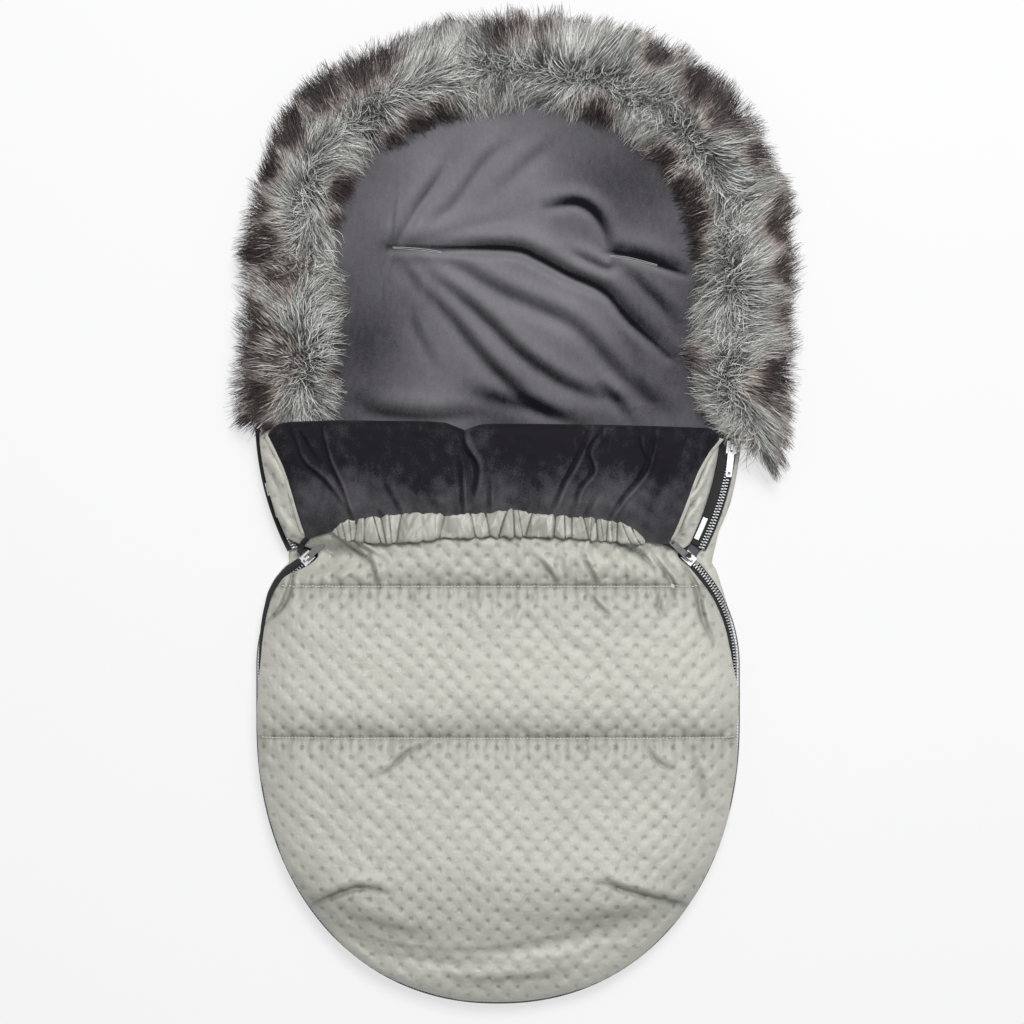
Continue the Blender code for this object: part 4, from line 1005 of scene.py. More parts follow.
def cover_detail(x, y, inside, dots):
    """Embossed dots, puckers beside the sewn lines, gathers below the hem and creases."""
    away = seam_distance(y)
    full = ease(inside / EDGE_FREE)
    free = 1 - bell(away, SEWN_FLAT)
    varied = 1 + DOT_UNLIKE * ripples(*DOT_UNLIKE_WAVES)(x, y)
    taut = (0.35 + 0.65 * ease(away / TAUT_RUN)) * (0.60 + 0.40 * bell(away, TAUT_REACH))
    dots = DOT_DEPTH * varied * (embossing(*dots) - 1) * taut * full
    uneven = ripples(*UNEVEN_WAVES)(x, y) * UNEVEN_HEIGHT * (0.25 + 0.75 * free)
    crepe = ripples(*CREPE_WAVES)(x, y) * CREPE_HEIGHT
    sway = ripples(*PUCKER_WAVES)(x, y)
    pucker = np.sin(2 * np.pi * x / PUCKER_PITCH + 2.2 * sway) * PUCKER_HEIGHT
    pucker = pucker * np.exp(-away / PUCKER_REACH) * free
    long_pucker = ripples(*LONG_PUCKER_WAVES)(x, y * 0.25) * LONG_PUCKER_HEIGHT
    long_pucker = long_pucker * np.exp(-away / LONG_PUCKER_REACH) * free
    below_hem = 0.8 * bell(y - GATHER_Y, GATHER_REACH) * (0.62 + 0.38 * np.tanh((x - 0.04) / 0.05))
    gathers = ripples(*GATHER_WAVES)(x, y * 0.28) * GATHER_HEIGHT * below_hem * free
    rim = ripples(*RIM_WAVES)(x * 0.8, y) * RIM_HEIGHT * np.exp(-inside / RIM_REACH)
    loose = uneven + crepe + pucker + long_pucker + gathers + rim
    return dots + loose * full + folded(x, y, QUILT_FOLDS) * full


# Painted shade: how dark the sunken places are, where little light reaches, and how far each reaches.
SEWN_SHADE = 0.34
SEWN_REACH = 0.0022
BESIDE_SEAM_SHADE = 0.31
BESIDE_SEAM_REACH = 0.021
PULLED_SHADE = 0.30
PULLED_PLACE = 0.0035
PULLED_REACH = 0.0045
TOE_SHADE = 0.30
TOE_SHADE_Y = -0.395
TOE_SHADE_REACH = 0.030
CREASE_SHADE = 0.62
CREASE_DEPTH = 0.0024
UNDER_HEM_SHADE = 0.20
UNDER_HEM_Y = -0.040
UNDER_HEM_REACH = 0.010
DEEPEST_SHADE = 0.80


def painted_hollow_shade(x, y, column):
    """Painted shade of a place that lies in a seam or a crease, at the toe or under the hem."""
    sides = [np.abs(np.where(y > seam, 1.0, 0.62) * (y - seam)) for seam in CHANNEL_SEAMS]
    past = np.min(sides, axis=0)
    seams = SEWN_SHADE * bell(seam_distance(y), SEWN_REACH)
    seams += BESIDE_SEAM_SHADE * bell(past, BESIDE_SEAM_REACH)
    pulled = (0.5 + 0.5 * np.cos(4 * np.pi * column)) ** 3
    seams += PULLED_SHADE * pulled * bell(past - PULLED_PLACE, PULLED_REACH)
    toe = TOE_SHADE * bell(y - TOE_SHADE_Y, TOE_SHADE_REACH)
    creases = np.clip(-folded(x, y, QUILT_FOLDS[2:]) / CREASE_DEPTH, 0, 1) * CREASE_SHADE
    hem = UNDER_HEM_SHADE * bell(y - UNDER_HEM_Y, UNDER_HEM_REACH) * (np.abs(x + 0.01) < 0.16)
    return np.clip(seams + creases + hem + toe, 0, DEEPEST_SHADE)


FOLD_DIPS = ((-231, -5), (-222, -2), (-205, -0.8), (-160, 0.4), (-70, -0.4), (-52, -2), (-41, -6))
FOLD_DIPS += ((-33, -9.5), (-26, -6.5), (-16, -3.5), (0, -2.8), (100, -3.8), (160, -5.4))
FOLD_DIPS += ((196, -6.5), (215, -7), (228, -9))
SEAM_ROWS_REACH = 0.015
COVER_RINGS = 162
COVER_STEP = 8
WADDING_SKIN = 0.0016
WADDING_SINK = 0.0044
WADDING_START = 0.017
WADDING_RUN = 0.030
INNER_GAP = 0.001
INNER_TUCK = 0.003
INNER_TUCK_RUN = 0.02
LIP_RISE = 0.004
LIP_RUN = 0.012
CEILING_SWAY = 0.0012
CEILING_SWAY_WAVES = (31, 14, 0.03, 0.16)
CEILING_INSET = 0.009
CEILING_DROP = 0.0006
CEILING_EASE = 0.0008
CEILING_START = 0.008
CEILING_SHIFT = 0.004


def fold_dips(x, y):
    """How far the folded top edge hangs down, most where the cuff is creased."""
    return read_off(x, FOLD_DIPS) * ease((y - 0.03) / 0.045)


def cover_pad():
    """The padded cover: a fine quilted outside that is turned under and closed below."""
    below, above = CHANNEL_SEAMS[1] - SEAM_ROWS_REACH, CHANNEL_SEAMS[1] + SEAM_ROWS_REACH
    rows = np.concatenate([
        np.linspace(WIDEST_Y, below, 57),
        np.linspace(below, above, 34)[1:],
        np.linspace(above, COVER_TOP_Y, 71)[1:],
    ])
    foot = (COVER_FOOT_LENGTH, TOE_FULLNESS, COVER_RINGS)
    columns = 34 * COVER_STEP + 1
    x, y, inside, under = panel_plan(columns, rows, foot, cover_sides, None, COVER_LAP)
    swelling = OUTLINE_SWAY * ripples(*OUTLINE_SWAY_WAVES)(x, y)
    swelling = 1 + swelling * ease((-0.15 - y) / 0.05) * ease(1 - inside / 0.05)
    x, y = x * swelling, (y - WIDEST_Y) * swelling + WIDEST_Y
    tuck = np.clip(under / COVER_LAP, 0, 1)
    dots = lattice(x, y, 5)
    outside = cover_smooth(inside, y) + cover_detail(x, y, inside, dots) * (under == 0)
    low = SEWN_Z + (LEFT_FLAP_Z - SEWN_Z) * flap(y) * (x < 0) * ease((1 - tuck) / 0.45)
    roll = low + (cover_smooth(0 * y, y) - SEWN_Z) * (1 - np.sqrt(1 - (1 - tuck) ** 2))
    z = np.where(under > 0, roll, outside + flap_lift(x, y, inside))
    lip = ease(1 - (COVER_TOP_Y - y) / LIP_RUN)
    sunk = SEWN_Z + pouch_ceiling(inside, y) + LIP_RISE
    z = np.where(under > 0, z, z + (sunk - z) * lip)
    y = y + fold_dips(x, y)
    deep, wide = x.shape
    inset = COVER_LAP + INNER_GAP

    def inner_sides(y):
        """Middle and half width of the inner layer."""
        middle, half = cover_sides(y)
        return middle, half - inset

    foot = (COVER_FOOT_LENGTH - inset, TOE_FULLNESS, COVER_RINGS)
    inner_plan = panel_plan(columns, rows, foot, inner_sides, None, 0.0)
    faces, inner = closing_faces(deep, wide, COVER_STEP, deep * wide)
    index = np.array(inner)
    in_x, in_y, within, _ = (places[index[:, 0], index[:, 1]] for places in inner_plan)
    within = within + inset
    in_z = SEWN_Z + pouch_ceiling(within - INNER_TUCK, in_y) + WADDING_SKIN
    in_z = in_z - WADDING_SINK * ease((within - WADDING_START) / WADDING_RUN)
    drawn = INNER_TUCK * ease(1 - (COVER_TOP_Y - in_y) / INNER_TUCK_RUN)
    in_y = in_y + fold_dips(in_x, in_y) - drawn
    points = np.concatenate([as_points(x, y, z), as_points(in_x, in_y, in_z)])
    fields = dot_fields(dots, lattice(in_x, in_y, 5))
    # Painted shade in the seams, creases, toe and the strip under the hem; none on the inner layer.
    fields["hollow"] = np.append(painted_hollow_shade(x, y, dots[0]), 0 * in_x)
    piece = mesh_piece("front_cover_quilted", points, grid_faces(deep, wide) + faces, quilt_satin, fields)
    v = (np.arange(deep)[:, None] / (deep - 1) + 0 * x) * 0.98 + 0.01
    u = (np.arange(wide)[None, :] / (wide - 1) + 0 * x) * 0.7
    low_u, low_v = 0.72 + 0.27 * index[:, 1] / wide, 0.01 + 0.98 * index[:, 0] / deep
    give_bake_map(piece, np.append(u, low_u), np.append(v, low_v))
    return piece


cover = cover_pad()
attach(cover, "cover")
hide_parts("cover_shell", "cover_wadding")


def cover_lining():
    """The velvet inside of the cover, which is the pouch's ceiling."""
    rows = np.linspace(WIDEST_Y, COVER_TOP_Y, 60)
    foot = (COVER_FOOT_LENGTH - CEILING_INSET, TOE_FULLNESS, 44)

    def sides(y):
        """Middle and half width of the lining, clear of the zip on both sides."""
        return 0.0, cover_half(y) - CEILING_INSET

    x, y, inside, _ = panel_plan(91, rows, foot, sides, None, 0.0)
    soft = ripples(*CEILING_SWAY_WAVES)(x, y) * CEILING_SWAY * ease(inside / 0.03)
    sunk = np.abs(soft) + CEILING_EASE * ease(inside / 0.01)
    sunk = sunk + WADDING_SINK * ease((inside - CEILING_START) / WADDING_RUN)
    z = SEWN_Z - CEILING_DROP + pouch_ceiling(inside + CEILING_SHIFT, y) - sunk
    y = y + fold_dips(x, y)
    faces = grid_faces(*x.shape, flip=True)
    # The ceiling's velvet gets an even middle level of painted sheen.
    fields = {"nap": np.full(x.shape, 0.5)}
    piece = mesh_piece("cover_lining_velvet", as_points(x, y, z), faces, velvet, fields)
    give_bake_map(piece, *seen_from_above(x, y, 0.62))
    return piece


cover_velvet = cover_lining()
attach(cover_velvet, "cover")
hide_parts("cover_lining")


STITCH_PITCH = 0.0033
STITCH_LENGTH = 0.0024
STITCH_RADIUS = 0.00058
STITCH_MARGIN = 0.007
STITCH_LIFT = 0.0010
STITCH_DIVE = 0.0012
STITCH_STRAY = 0.0002
STITCH_TILT = 0.12
STITCH_POINTS = 7
STITCH_SEED = 71
THREAD_GREY = (0.60, 0.60, 0.55, 1)


def channel_stitches():
    """Lockstitch along both sewn lines: short threads that dive into the cloth at each end."""
    draw = np.random.default_rng(STITCH_SEED)
    parts = []
    for seam in CHANNEL_SEAMS:
        middle, half = [float(size) for size in cover_sides(np.float64(seam))]
        for x in np.arange(middle - half + STITCH_MARGIN, middle + half - STITCH_MARGIN, STITCH_PITCH):
            share = np.linspace(-1, 1, STITCH_POINTS)
            tilt = draw.uniform(-STITCH_TILT, STITCH_TILT)
            line_x = x + share * STITCH_LENGTH / 2
            line_y = seam + STITCH_STRAY * draw.standard_normal() + share * tilt * STITCH_LENGTH / 2
            inside = np.full(STITCH_POINTS, half - abs(x - middle))
            sunk = cover_detail(line_x, line_y, inside, lattice(line_x, line_y, 5))
            line_z = cover_smooth(inside, line_y) + sunk + STITCH_LIFT - STITCH_DIVE * share**2
            parts.append(tube(np.stack([line_x, line_y, line_z], 1), STITCH_RADIUS, 6))
    piece = mesh_piece("channel_stitches", *joined(parts), thread)
    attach(piece, "cover")


thread = finish_of("thread", {"Base Color": THREAD_GREY, "Roughness": 0.55}, plain)
channel_stitches()


# Cuff
# The top of the cover folds down over its front, so the velvet lining shows. The gathered hem
# draws it in and throws sharp creases up from the hem. The quilted face is underneath.

CUFF_FOLD_Y = 0.086
CUFF_ROLL_REACH = 0.0085
CUFF_ROLL_START = 0.012
CUFF_ROLL_DIP = 0.006
CUFF_ROLL_LEAST = 0.004
CUFF_ROLL_SHIFT = 0.004
CUFF_ROLL_Y = 0.07
CUFF_HEM_Y = -0.020
CUFF_LEFT = ((-32, -186), (-27, -188.5), (40, -214), (76, -230), (90, -231))
CUFF_RIGHT = ((-36, 160), (-30, 162), (-14, 174), (16, 191), (60, 212), (76, 223), (90, 225))
HEM_LINE = ((-190, -29), (-166, -22), (-155, -16), (-130, -12), (-92, -7.5), (-46, -9.5), (0, -6))
HEM_LINE += ((14, -3.5), (47, -9.5), (93, -12), (123, -17), (136, -24), (146, -31), (162, -34))
HEM_OVERLAP = 0.004
CUFF_LEVEL_Y = 0.035
CUFF_REST = 0.0013
CUFF_THICKNESS = 0.0082
CUFF_EDGE = 0.0042
CUFF_LAP = 0.005
CUFF_ROUNDING = 0.0035
CUFF_FILL_REACH = 0.03
CUFF_DRAWN_RUN = 0.020
CUFF_CREASE_START = 0.008
CUFF_SWAY = 0.0012
CUFF_SWAY_WAVES = (41, 16, 0.03, 0.12)
CUFF_CREPE = 0.00030
CUFF_CREPE_WAVES = (42, 22, 0.008, 0.03)
CUFF_GATHER = 0.0024
CUFF_GATHER_REACH = 0.018
CUFF_GATHER_WAVES = (43, 22, 0.009, 0.030)
# Painted light on the cuff's velvet: waves of painted sheen, its level, and painted shade toward the fold.
CUFF_SHEEN_WAVES = (44, 12, 0.04, 0.12)
CUFF_FINE_SHEEN_WAVES = (45, 14, 0.008, 0.025)
CUFF_PAINTED_LIGHT = 0.185
CUFF_TOP_SHADE = 0.45
CUFF_CREASE_HEIGHT = 0.003
CUFF_FOLDS = (
    (((-176, 84), (-174, 76), (-166.5, 46), (-154, 18), (-141, -20)), 3.2, 2.4, 1.7),
    (((-206, 78), (-200, 64), (-191, 43), (-169.5, 24.5), (-148, -4)), 2.6, 2.6, 1.8),
    (((-198, 80), (-188, 62), (-178, 46)), 1.8, 3.0, 2.0),
    (((-34, 88), (-32, 64), (-21, 43), (-19.6, 27.5), (-25, 4)), 3.8, 3.2, 1.8),
    (((-37, 48), (-34.5, 20), (-33, -16)), 2.6, 2.2, 1.7),
    (((-7.3, 26), (-7.3, -14)), 2.2, 2.2, 1.8),
    (((92, 78), (87.6, 67), (78, 43), (66, 21), (50, -16)), 3.2, 2.6, 1.8),
    (((108, 82), (103, 73.5), (90.6, 55), (95, 34), (81.5, 15), (72, -18)), 2.6, 2.4, 1.8),
    (((158, 82), (155, 70), (146, 34), (124, 6), (108, -20)), 3.4, 2.6, 1.8),
    (((140, 80), (142, 60), (150, 44)), 1.8, 2.4, 2.0),
    (((-110, 24), (-104, 10), (-92, -12)), 2.0, 2.8, 2.0),
    (((-80, 30), (-66, 12), (-52, -10)), 1.4, 5, 4),
    (((190, 66), (176, 40), (160, 8), (150, -20)), 1.4, 6, 5),
    (((-206, 40), (-196, 10), (-184, -18)), 1.2, 5, 4),
    (((100, 12), (92, -2), (86, -18)), 1.8, 2.8, 2.0),
    (((30, -2), (26, -10), (24, -18)), 1.4, 2.6, 2.0),
    (((-120, -2), (-112, -10), (-104, -18)), 1.4, 2.6, 2.0),
    (((130, 2), (122, -10), (116, -20)), 1.6, 2.6, 2.0),
)


def cuff_sides(y):
    """Middle and half width of the cuff, which the elastic draws in toward the hem."""
    left, right = read_off(y, CUFF_LEFT), read_off(y, CUFF_RIGHT)
    return (left + right) / 2, (right - left) / 2


def on_cover(x, y):
    """Height of the smooth cover at any place above the waist."""
    middle, half = cover_sides(y)
    inside = np.clip(half - np.abs(x - middle), 0.002, None)
    return cover_smooth(inside, y) + flap_lift(x, y, inside)


def hem_line(x):
    """Where the cuff's velvet ends in the hem's upper edge."""
    return read_off(x, HEM_LINE)


def to_hem(x, y):
    """Moves the level lower rows of the cuff onto the hem's upper edge."""
    share = ease((CUFF_LEVEL_Y - y) / (CUFF_LEVEL_Y - CUFF_HEM_Y))
    return y + (hem_line(x) - HEM_OVERLAP - CUFF_HEM_Y) * share


def cuff_top(x, y, inside):
    """Height of the cuff's velvet: padded, drawn in at the hem, and creased up from it."""
    fill = 1 - (1 - np.clip(inside / CUFF_FILL_REACH, 0, 1)) ** 2
    crown = CUFF_EDGE + (CUFF_THICKNESS - CUFF_EDGE) * fill
    edge = np.sqrt(1 - (1 - np.clip(inside / CUFF_ROUNDING, 0, 1)) ** 2)
    above = np.clip(y - hem_line(x) + HEM_OVERLAP, 0, 1)
    drawn_in = 0.30 + 0.70 * ease(above / CUFF_DRAWN_RUN)
    soft = ripples(*CUFF_SWAY_WAVES)(x, y) * CUFF_SWAY + ripples(*CUFF_CREPE_WAVES)(x, y) * CUFF_CREPE
    gathers = ripples(*CUFF_GATHER_WAVES)(x, y * 0.22) * CUFF_GATHER
    gathers = gathers * np.exp(-above / CUFF_GATHER_REACH)
    detail = (soft + gathers + folded(x, y, CUFF_FOLDS)) * ease(inside / CUFF_CREASE_START)
    return on_cover(x, y) + CUFF_REST + (crown * drawn_in + detail * (0.4 + 0.6 * drawn_in)) * edge


def even_picture(deep, wide):
    """Places that lay a grid of points evenly over its baked picture."""
    ends = (PICTURE_MARGIN, 1 - PICTURE_MARGIN)
    return np.meshgrid(np.linspace(*ends, wide), np.linspace(*ends, deep))


def cuff_velvet():
    """Velvet that comes up out of the pouch, rolls over the fold and lies down to the hem."""
    y_rows = np.linspace(CUFF_FOLD_Y - CUFF_ROLL_START, CUFF_HEM_Y, 112)
    roll_turns = np.radians(np.linspace(-90, 86, 16))
    u = np.linspace(-1, 1, 385)
    across, y = np.meshgrid(u, y_rows)
    middle, half = cuff_sides(y)
    share, under = tucked(np.abs(across), CUFF_LAP / half)
    x = middle + np.sign(across) * share * half
    inside = (1 - share) * half
    y = to_hem(x, y)
    z = cuff_top(x, y, inside)
    foot_z = on_cover(x, y) + CUFF_REST
    z = np.where(under > 0, foot_z, z)
    y = y + fold_dips(x, y)
    roll_x, roll_y, roll_z = [], [], []
    ceiling = pouch_ceiling(inside[0] + CUFF_ROLL_SHIFT, np.full(u.shape, CUFF_ROLL_Y))
    top_z = z[0]
    low_z = np.minimum(SEWN_Z + ceiling, top_z - CUFF_ROLL_LEAST)
    for turn in roll_turns:
        lift = (math.sin(turn) + 1) / 2
        reach = CUFF_ROLL_REACH * ease(inside[0] / 0.02 + 0.3) * math.cos(turn)
        roll_x.append(x[0])
        roll_y.append(y[0] + reach + CUFF_ROLL_DIP * (1 - lift) ** 2)
        roll_z.append(low_z + (top_z - low_z) * lift)
    x = np.concatenate([roll_x, x])
    y = np.concatenate([roll_y, y])
    z = np.concatenate([roll_z, z])
    deep, wide = x.shape
    # Painted light on the cuff: painted shade toward the fold, a lighter painted patch on the right,
    # wandering painted sheen, and painted shade and highlight on the two sides of each crease.
    nap = CUFF_PAINTED_LIGHT - CUFF_TOP_SHADE * ease((y + 0.008) / 0.060)
    nap = nap + 0.20 * np.exp(-(((x - 0.075) / 0.03) ** 2 + (y / 0.02) ** 2))
    nap += 0.10 * ripples(*CUFF_SHEEN_WAVES)(x, y) + 0.06 * ripples(*CUFF_FINE_SHEEN_WAVES)(x, y)
    creases = folded(x, y, CUFF_FOLDS)
    steep = creases / CUFF_CREASE_HEIGHT
    nap += np.clip(steep, -1, 0) * 0.34 + np.clip(steep, 0, 1) ** 2 * 0.26
    fields = {"nap": np.clip(nap, -0.5, 1)}
    piece = mesh_piece("cuff_velvet", as_points(x, y, z), grid_faces(deep, wide, flip=True), velvet, fields)
    give_bake_map(piece, *even_picture(deep, wide))
    return piece


cuff = cuff_velvet()
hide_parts("cuff_lining")
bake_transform(cuff)


PIPING_REACH = 0.0034
PIPING_HEIGHT = 0.0030
CUFF_PUFF = 0.0010
PIPING_PLACE = 0.0012
PIPING_WIDTH = 0.0028
CUFF_PAD_START = 0.010
CUFF_PAD_RIM = 0.004
CUFF_PAD_SKIN = 0.002


def cuff_pad():
    """The padded body of the cuff; only its thin quilted edge shows while it lies down."""
    step = 4
    rows = np.linspace(CUFF_FOLD_Y - CUFF_PAD_START, CUFF_HEM_Y + HEM_OVERLAP, 13 * step + 1)
    across, y = np.meshgrid(np.linspace(-1, 1, 49 * step + 1), rows)
    middle, half = cuff_sides(y)
    x = middle + across * (half + PIPING_REACH)
    inside = (1 - np.abs(across)) * half
    ends = np.minimum(y.max() - y, y - y.min())
    rim = np.minimum(ends / CUFF_PAD_RIM, inside / CUFF_PAD_RIM)
    dots = lattice(x, y, 6)
    y = to_hem(x, y)
    piping = PIPING_HEIGHT * bell(inside - PIPING_PLACE, PIPING_WIDTH)
    puff = CUFF_PUFF * (1 - embossing(*dots))
    z = on_cover(x, y) + CUFF_REST * 0.6 + puff * ease(rim) + piping * ease(rim * 2)
    y = y + fold_dips(x, y)
    deep, wide = x.shape
    faces, inner = closing_faces(deep, wide, step, deep * wide)
    index = np.array(inner)
    in_x, in_y = x[index[:, 0], index[:, 1]], y[index[:, 0], index[:, 1]]
    in_z = on_cover(in_x, in_y) + CUFF_REST + CUFF_PAD_SKIN
    points = np.concatenate([as_points(x, y, z), as_points(in_x, in_y, in_z)])
    fields = dot_fields(dots, lattice(in_x, in_y, 6))
    faces = grid_faces(deep, wide, flip=True) + faces
    return mesh_piece("cuff_quilted", points, faces, quilt_satin, fields)


cuff_back = cuff_pad()
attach(cuff_back, "cuff")
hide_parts("cuff_shell", "cuff_wadding")


# Gathered hem
# A tube of plain satin along the cuff's end with elastic inside, which gathers the cloth into
# crisp pleats, closest at both ends.

HEM_ENDS = (-0.164, 0.146)
HEM_LOWER = ((-166, -30), (-150, -34), (-110, -38), (-60, -32), (0, -30.5), (50, -30), (100, -34))
HEM_LOWER += ((136, -38), (146, -39))
HEM_RISE = 0.0070
HEM_SATIN = (0.540, 0.540, 0.490)
HEM_SATIN_DIM = (0.42, 0.42, 0.38)
# Colour of the painted shade in the pleats and under the tube.
HEM_SHADE = (0.12, 0.12, 0.105)
HEM_CLOUD = 0.008
HEM_RELIEF = 0.0003
# Each pleat's edge: its place, its slant and its height, which is below 0 where it faces left.
PLEATS = ((-168, 0.2, 0.5), (-159, -0.3, 0.6), (-152.8, -0.32, 0.8), (-146, -0.2, -0.7), (-140.6, 0.26, 0.7))
PLEATS += ((-132, 0.05, 0.8), (-119, -0.77, -0.9), (-113, -0.57, 0.9), (-106, -0.3, -0.6), (-98, 0.51, 1.1))
PLEATS += ((-55, 0.51, 0.7), (-24.5, -0.5, -0.5), (-10, -0.45, 0.9), (4.8, 0.9, 1.0), (15.8, -0.19, 1.15))
PLEATS += ((22.5, -0.5, -0.7), (30.5, 0.7, 1.0), (56, 0.19, 1.0), (66.5, -0.06, -0.8), (73.2, 0.02, 0.7))
PLEATS += ((87.2, -0.57, 0.9), (92.3, 0.19, -0.9), (98, -0.2, 0.8), (103, -0.4, -0.7), (108, 0.2, 0.8))
PLEATS += ((113, -0.1, -0.9), (118, 0.12, 0.9), (127, -0.96, 0.8), (137, -0.9, -0.6), (152, 0.2, 0.6))
PLEAT_HEIGHT = 0.0052
PLEAT_WIDTH = 0.008
PLEAT_LINE = 0.0009
FACET_HEIGHT = 0.0115
FACET_WAVES = (54, 3, 0.018, 0.046)
FACET_SWAY_WAVES = (10, 0.02, 0.08)
HEM_CREPE = 0.0005
HEM_CREPE_WAVES = (53, 26, 0.004, 0.016)
HEM_EDGE_SWAY = 0.0009
HEM_EDGE_WAVES = (52, 18, 0.006, 0.02)
HEM_POINTS = 760
HEM_TURNS = 61
HEM_LIFT = 0.0046
HEM_CLOSING = 0.008
SCALLOP_SIZE = 0.0016
NARROWEST = 1e-4


def hem_paint(shade):
    """Plain satin, with painted shade down in the pleats and along its lower edge."""
    place = shade.place()
    cloud = shade.cloud(place, HEM_CLOUD)
    weave = shade.ribs(place, THREAD_PITCH, "X") + shade.ribs(place, THREAD_PITCH, "Y")
    satin = cloud.between(HEM_SATIN_DIM, HEM_SATIN)
    return {
        "Base Color": shade.field("hollow").share().between(satin, HEM_SHADE),
        "Roughness": cloud * 0.1 + 0.30,
        "Normal": shade.bump(weave * 0.3 + cloud, HEM_RELIEF, 0.5),
    }


hem_satin = finish_of("hem_satin", {"Specular IOR Level": 0.5, "Sheen Weight": 0.1}, hem_paint)


def facets(x, across, seed, count, shortest, longest):
    """Flat slanting faces that meet at sharp creases, from 0 to about 1."""
    draw = np.random.default_rng(seed)
    sway = ripples(seed + 1, *FACET_SWAY_WAVES)
    total = np.zeros(x.shape)
    for _ in range(count):
        length = draw.uniform(shortest, longest)
        slant = draw.uniform(-1.3, 1.3)
        start = draw.random()
        phase = (x + slant * across) / length + start + 0.35 * sway(x, start)
        total += 2 * np.abs(phase - np.round(phase))
    return total / count


def raised_to(values, power):
    """Values raised to a power with their signs kept."""
    return np.sign(values) * np.abs(values) ** power


def hem_tube():
    """A flattened tube whose pleats each rise along their width and drop at a sharp edge."""
    x, turn = np.meshgrid(np.linspace(*HEM_ENDS, HEM_POINTS), np.linspace(0, 2 * np.pi, HEM_TURNS))
    upper = hem_line(x)
    lower = read_off(x, HEM_LOWER)
    middle, half = (upper + lower) / 2, (upper - lower) / 2
    flat = raised_to(np.cos(turn), 0.8)
    crest = raised_to(np.sin(turn), 0.5)
    places, slants, heights = np.array(PLEATS).T
    places = places * MM
    pleats, lines, pleat_slope_shade = np.zeros(x.shape), np.zeros(x.shape), np.zeros(x.shape)
    for row in range(HEM_TURNS):
        edges = np.maximum.accumulate(places + slants * half[row, 0] * flat[row, 0])
        cell = np.clip(np.searchsorted(edges, x[row]) - 1, 0, len(edges) - 2)
        width = edges[cell + 1] - edges[cell]
        share = (x[row] - edges[cell]) / np.maximum(width, NARROWEST)
        size = heights[cell] * np.clip(width / PLEAT_WIDTH, 0.25, 1)
        strength = np.clip(np.abs(heights[cell]), 0, 1)
        away = np.minimum(share, 1 - share) * np.maximum(width, NARROWEST)
        lines[row] = bell(away, PLEAT_LINE) * strength
        rounded = np.where(share > 0.86, 1 - ((share - 0.86) / 0.14) ** 2 * 1.3, 1)
        leading = np.where(share < 0.10, 1 - (1 - share / 0.10) ** 2 * 0.9, 1)
        slope = np.where(size > 0, share, 1 - share)
        pleat_slope_shade[row] = (1 - slope) ** 2 * strength
        pleats[row] = np.abs(size) * (slope + 0.25) * rounded * leading
    crepe = ripples(*HEM_CREPE_WAVES)(x, middle + half * flat * 0.5)
    ruffle = SCALLOP_SIZE * (pleats - 0.4) + HEM_EDGE_SWAY * ripples(*HEM_EDGE_WAVES)(x, 0 * x)
    top = np.clip(np.sin(turn), 0, 1) ** 0.4
    end = np.minimum(x - HEM_ENDS[0], HEM_ENDS[1] - x)
    closing = np.sqrt(np.clip(end / HEM_CLOSING, 0.02, 1))
    y = middle + half * flat * closing + ruffle * np.sign(flat) * np.abs(flat) ** 3
    z = on_cover(x, middle) + HEM_LIFT + (HEM_RISE / 2) * crest * closing
    faceted = facets(x, half * flat, *FACET_WAVES)
    relief = PLEAT_HEIGHT * (pleats - 0.5) + FACET_HEIGHT * (faceted - 0.5) + HEM_CREPE * crepe
    z += top * relief * closing
    faces = grid_faces(HEM_TURNS, HEM_POINTS, flip=True)
    # Painted shade: dark lines at the pleats' edges, each pleat darker toward its low side, a dark band
    # along the tube's lower edge, and the low facets darker.
    lower_edge_shade = np.exp(-((1 - np.abs(flat)) / 0.10)) * (flat < 0)
    painted_pleat_shade = 0.70 * lines + 0.50 * pleat_slope_shade + 0.40 * lower_edge_shade
    painted_pleat_shade += 0.45 * np.clip(0.42 - faceted, 0, 1)
    piece = mesh_piece("gathered_hem", as_points(x, y, z), faces, hem_satin, {"hollow": painted_pleat_shade})
    give_bake_map(piece, *even_picture(HEM_TURNS, HEM_POINTS))
    return piece


hem = hem_tube()
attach(hem, "cuff")
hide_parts("cuff_hem", "cuff_elastic")


# Zips
# Moulded silver teeth on black woven tape. Each half's teeth and tape are sewn to their own
# panel, and the teeth of the two rows stand between each other where the zip is closed.

ZIP_Z = 0.0182
TOOTH_PITCH = 0.003
TOOTH_OUTLINE = ((3.1, -0.6), (2.4, -0.9), (1.3, -0.6), (0.5, -0.9), (-0.6, -0.5))
TOOTH_OUTLINE += ((-0.6, 0.5), (0.5, 0.9), (1.3, 0.6), (2.4, 0.9), (3.1, 0.6))
TOOTH_LEVELS = ((-1.5, 0.78), (-1.15, 1.0), (1.15, 1.0), (1.5, 0.78))
WAIST_TURN = math.radians(50)
LOWER_SLIDER_TURN = math.radians(47.5)
UPPER_CHAIN = (-0.042, 0.078)
UPPER_SLIDER_YS = {"left": 0.018, "right": 0.059}
SLIDER_LENGTH = 0.0130
SIDES = {"left": -1, "right": 1}
TAPE_THICKNESS = 0.0007
PATH_STEP = 0.001
METAL_DULL = (0.42, 0.42, 0.43)
METAL_BRIGHT = (0.74, 0.74, 0.75)
METAL_WEAR = 0.004
METAL_RELIEF = 0.0002
TEETH_DARK = (0.16, 0.16, 0.17)
TEETH_BRIGHT = (0.68, 0.69, 0.71)
TEETH_WEAR = 0.0022
TAPE_BLACK = (0.010, 0.010, 0.011)
TAPE_LINT = (0.030, 0.030, 0.031)
TAPE_RIB = 0.0008
TAPE_RELIEF = 0.0003
TAPE_LINT_SIZE = 0.0015
SHARP_TOOTH_EDGE = math.radians(40)
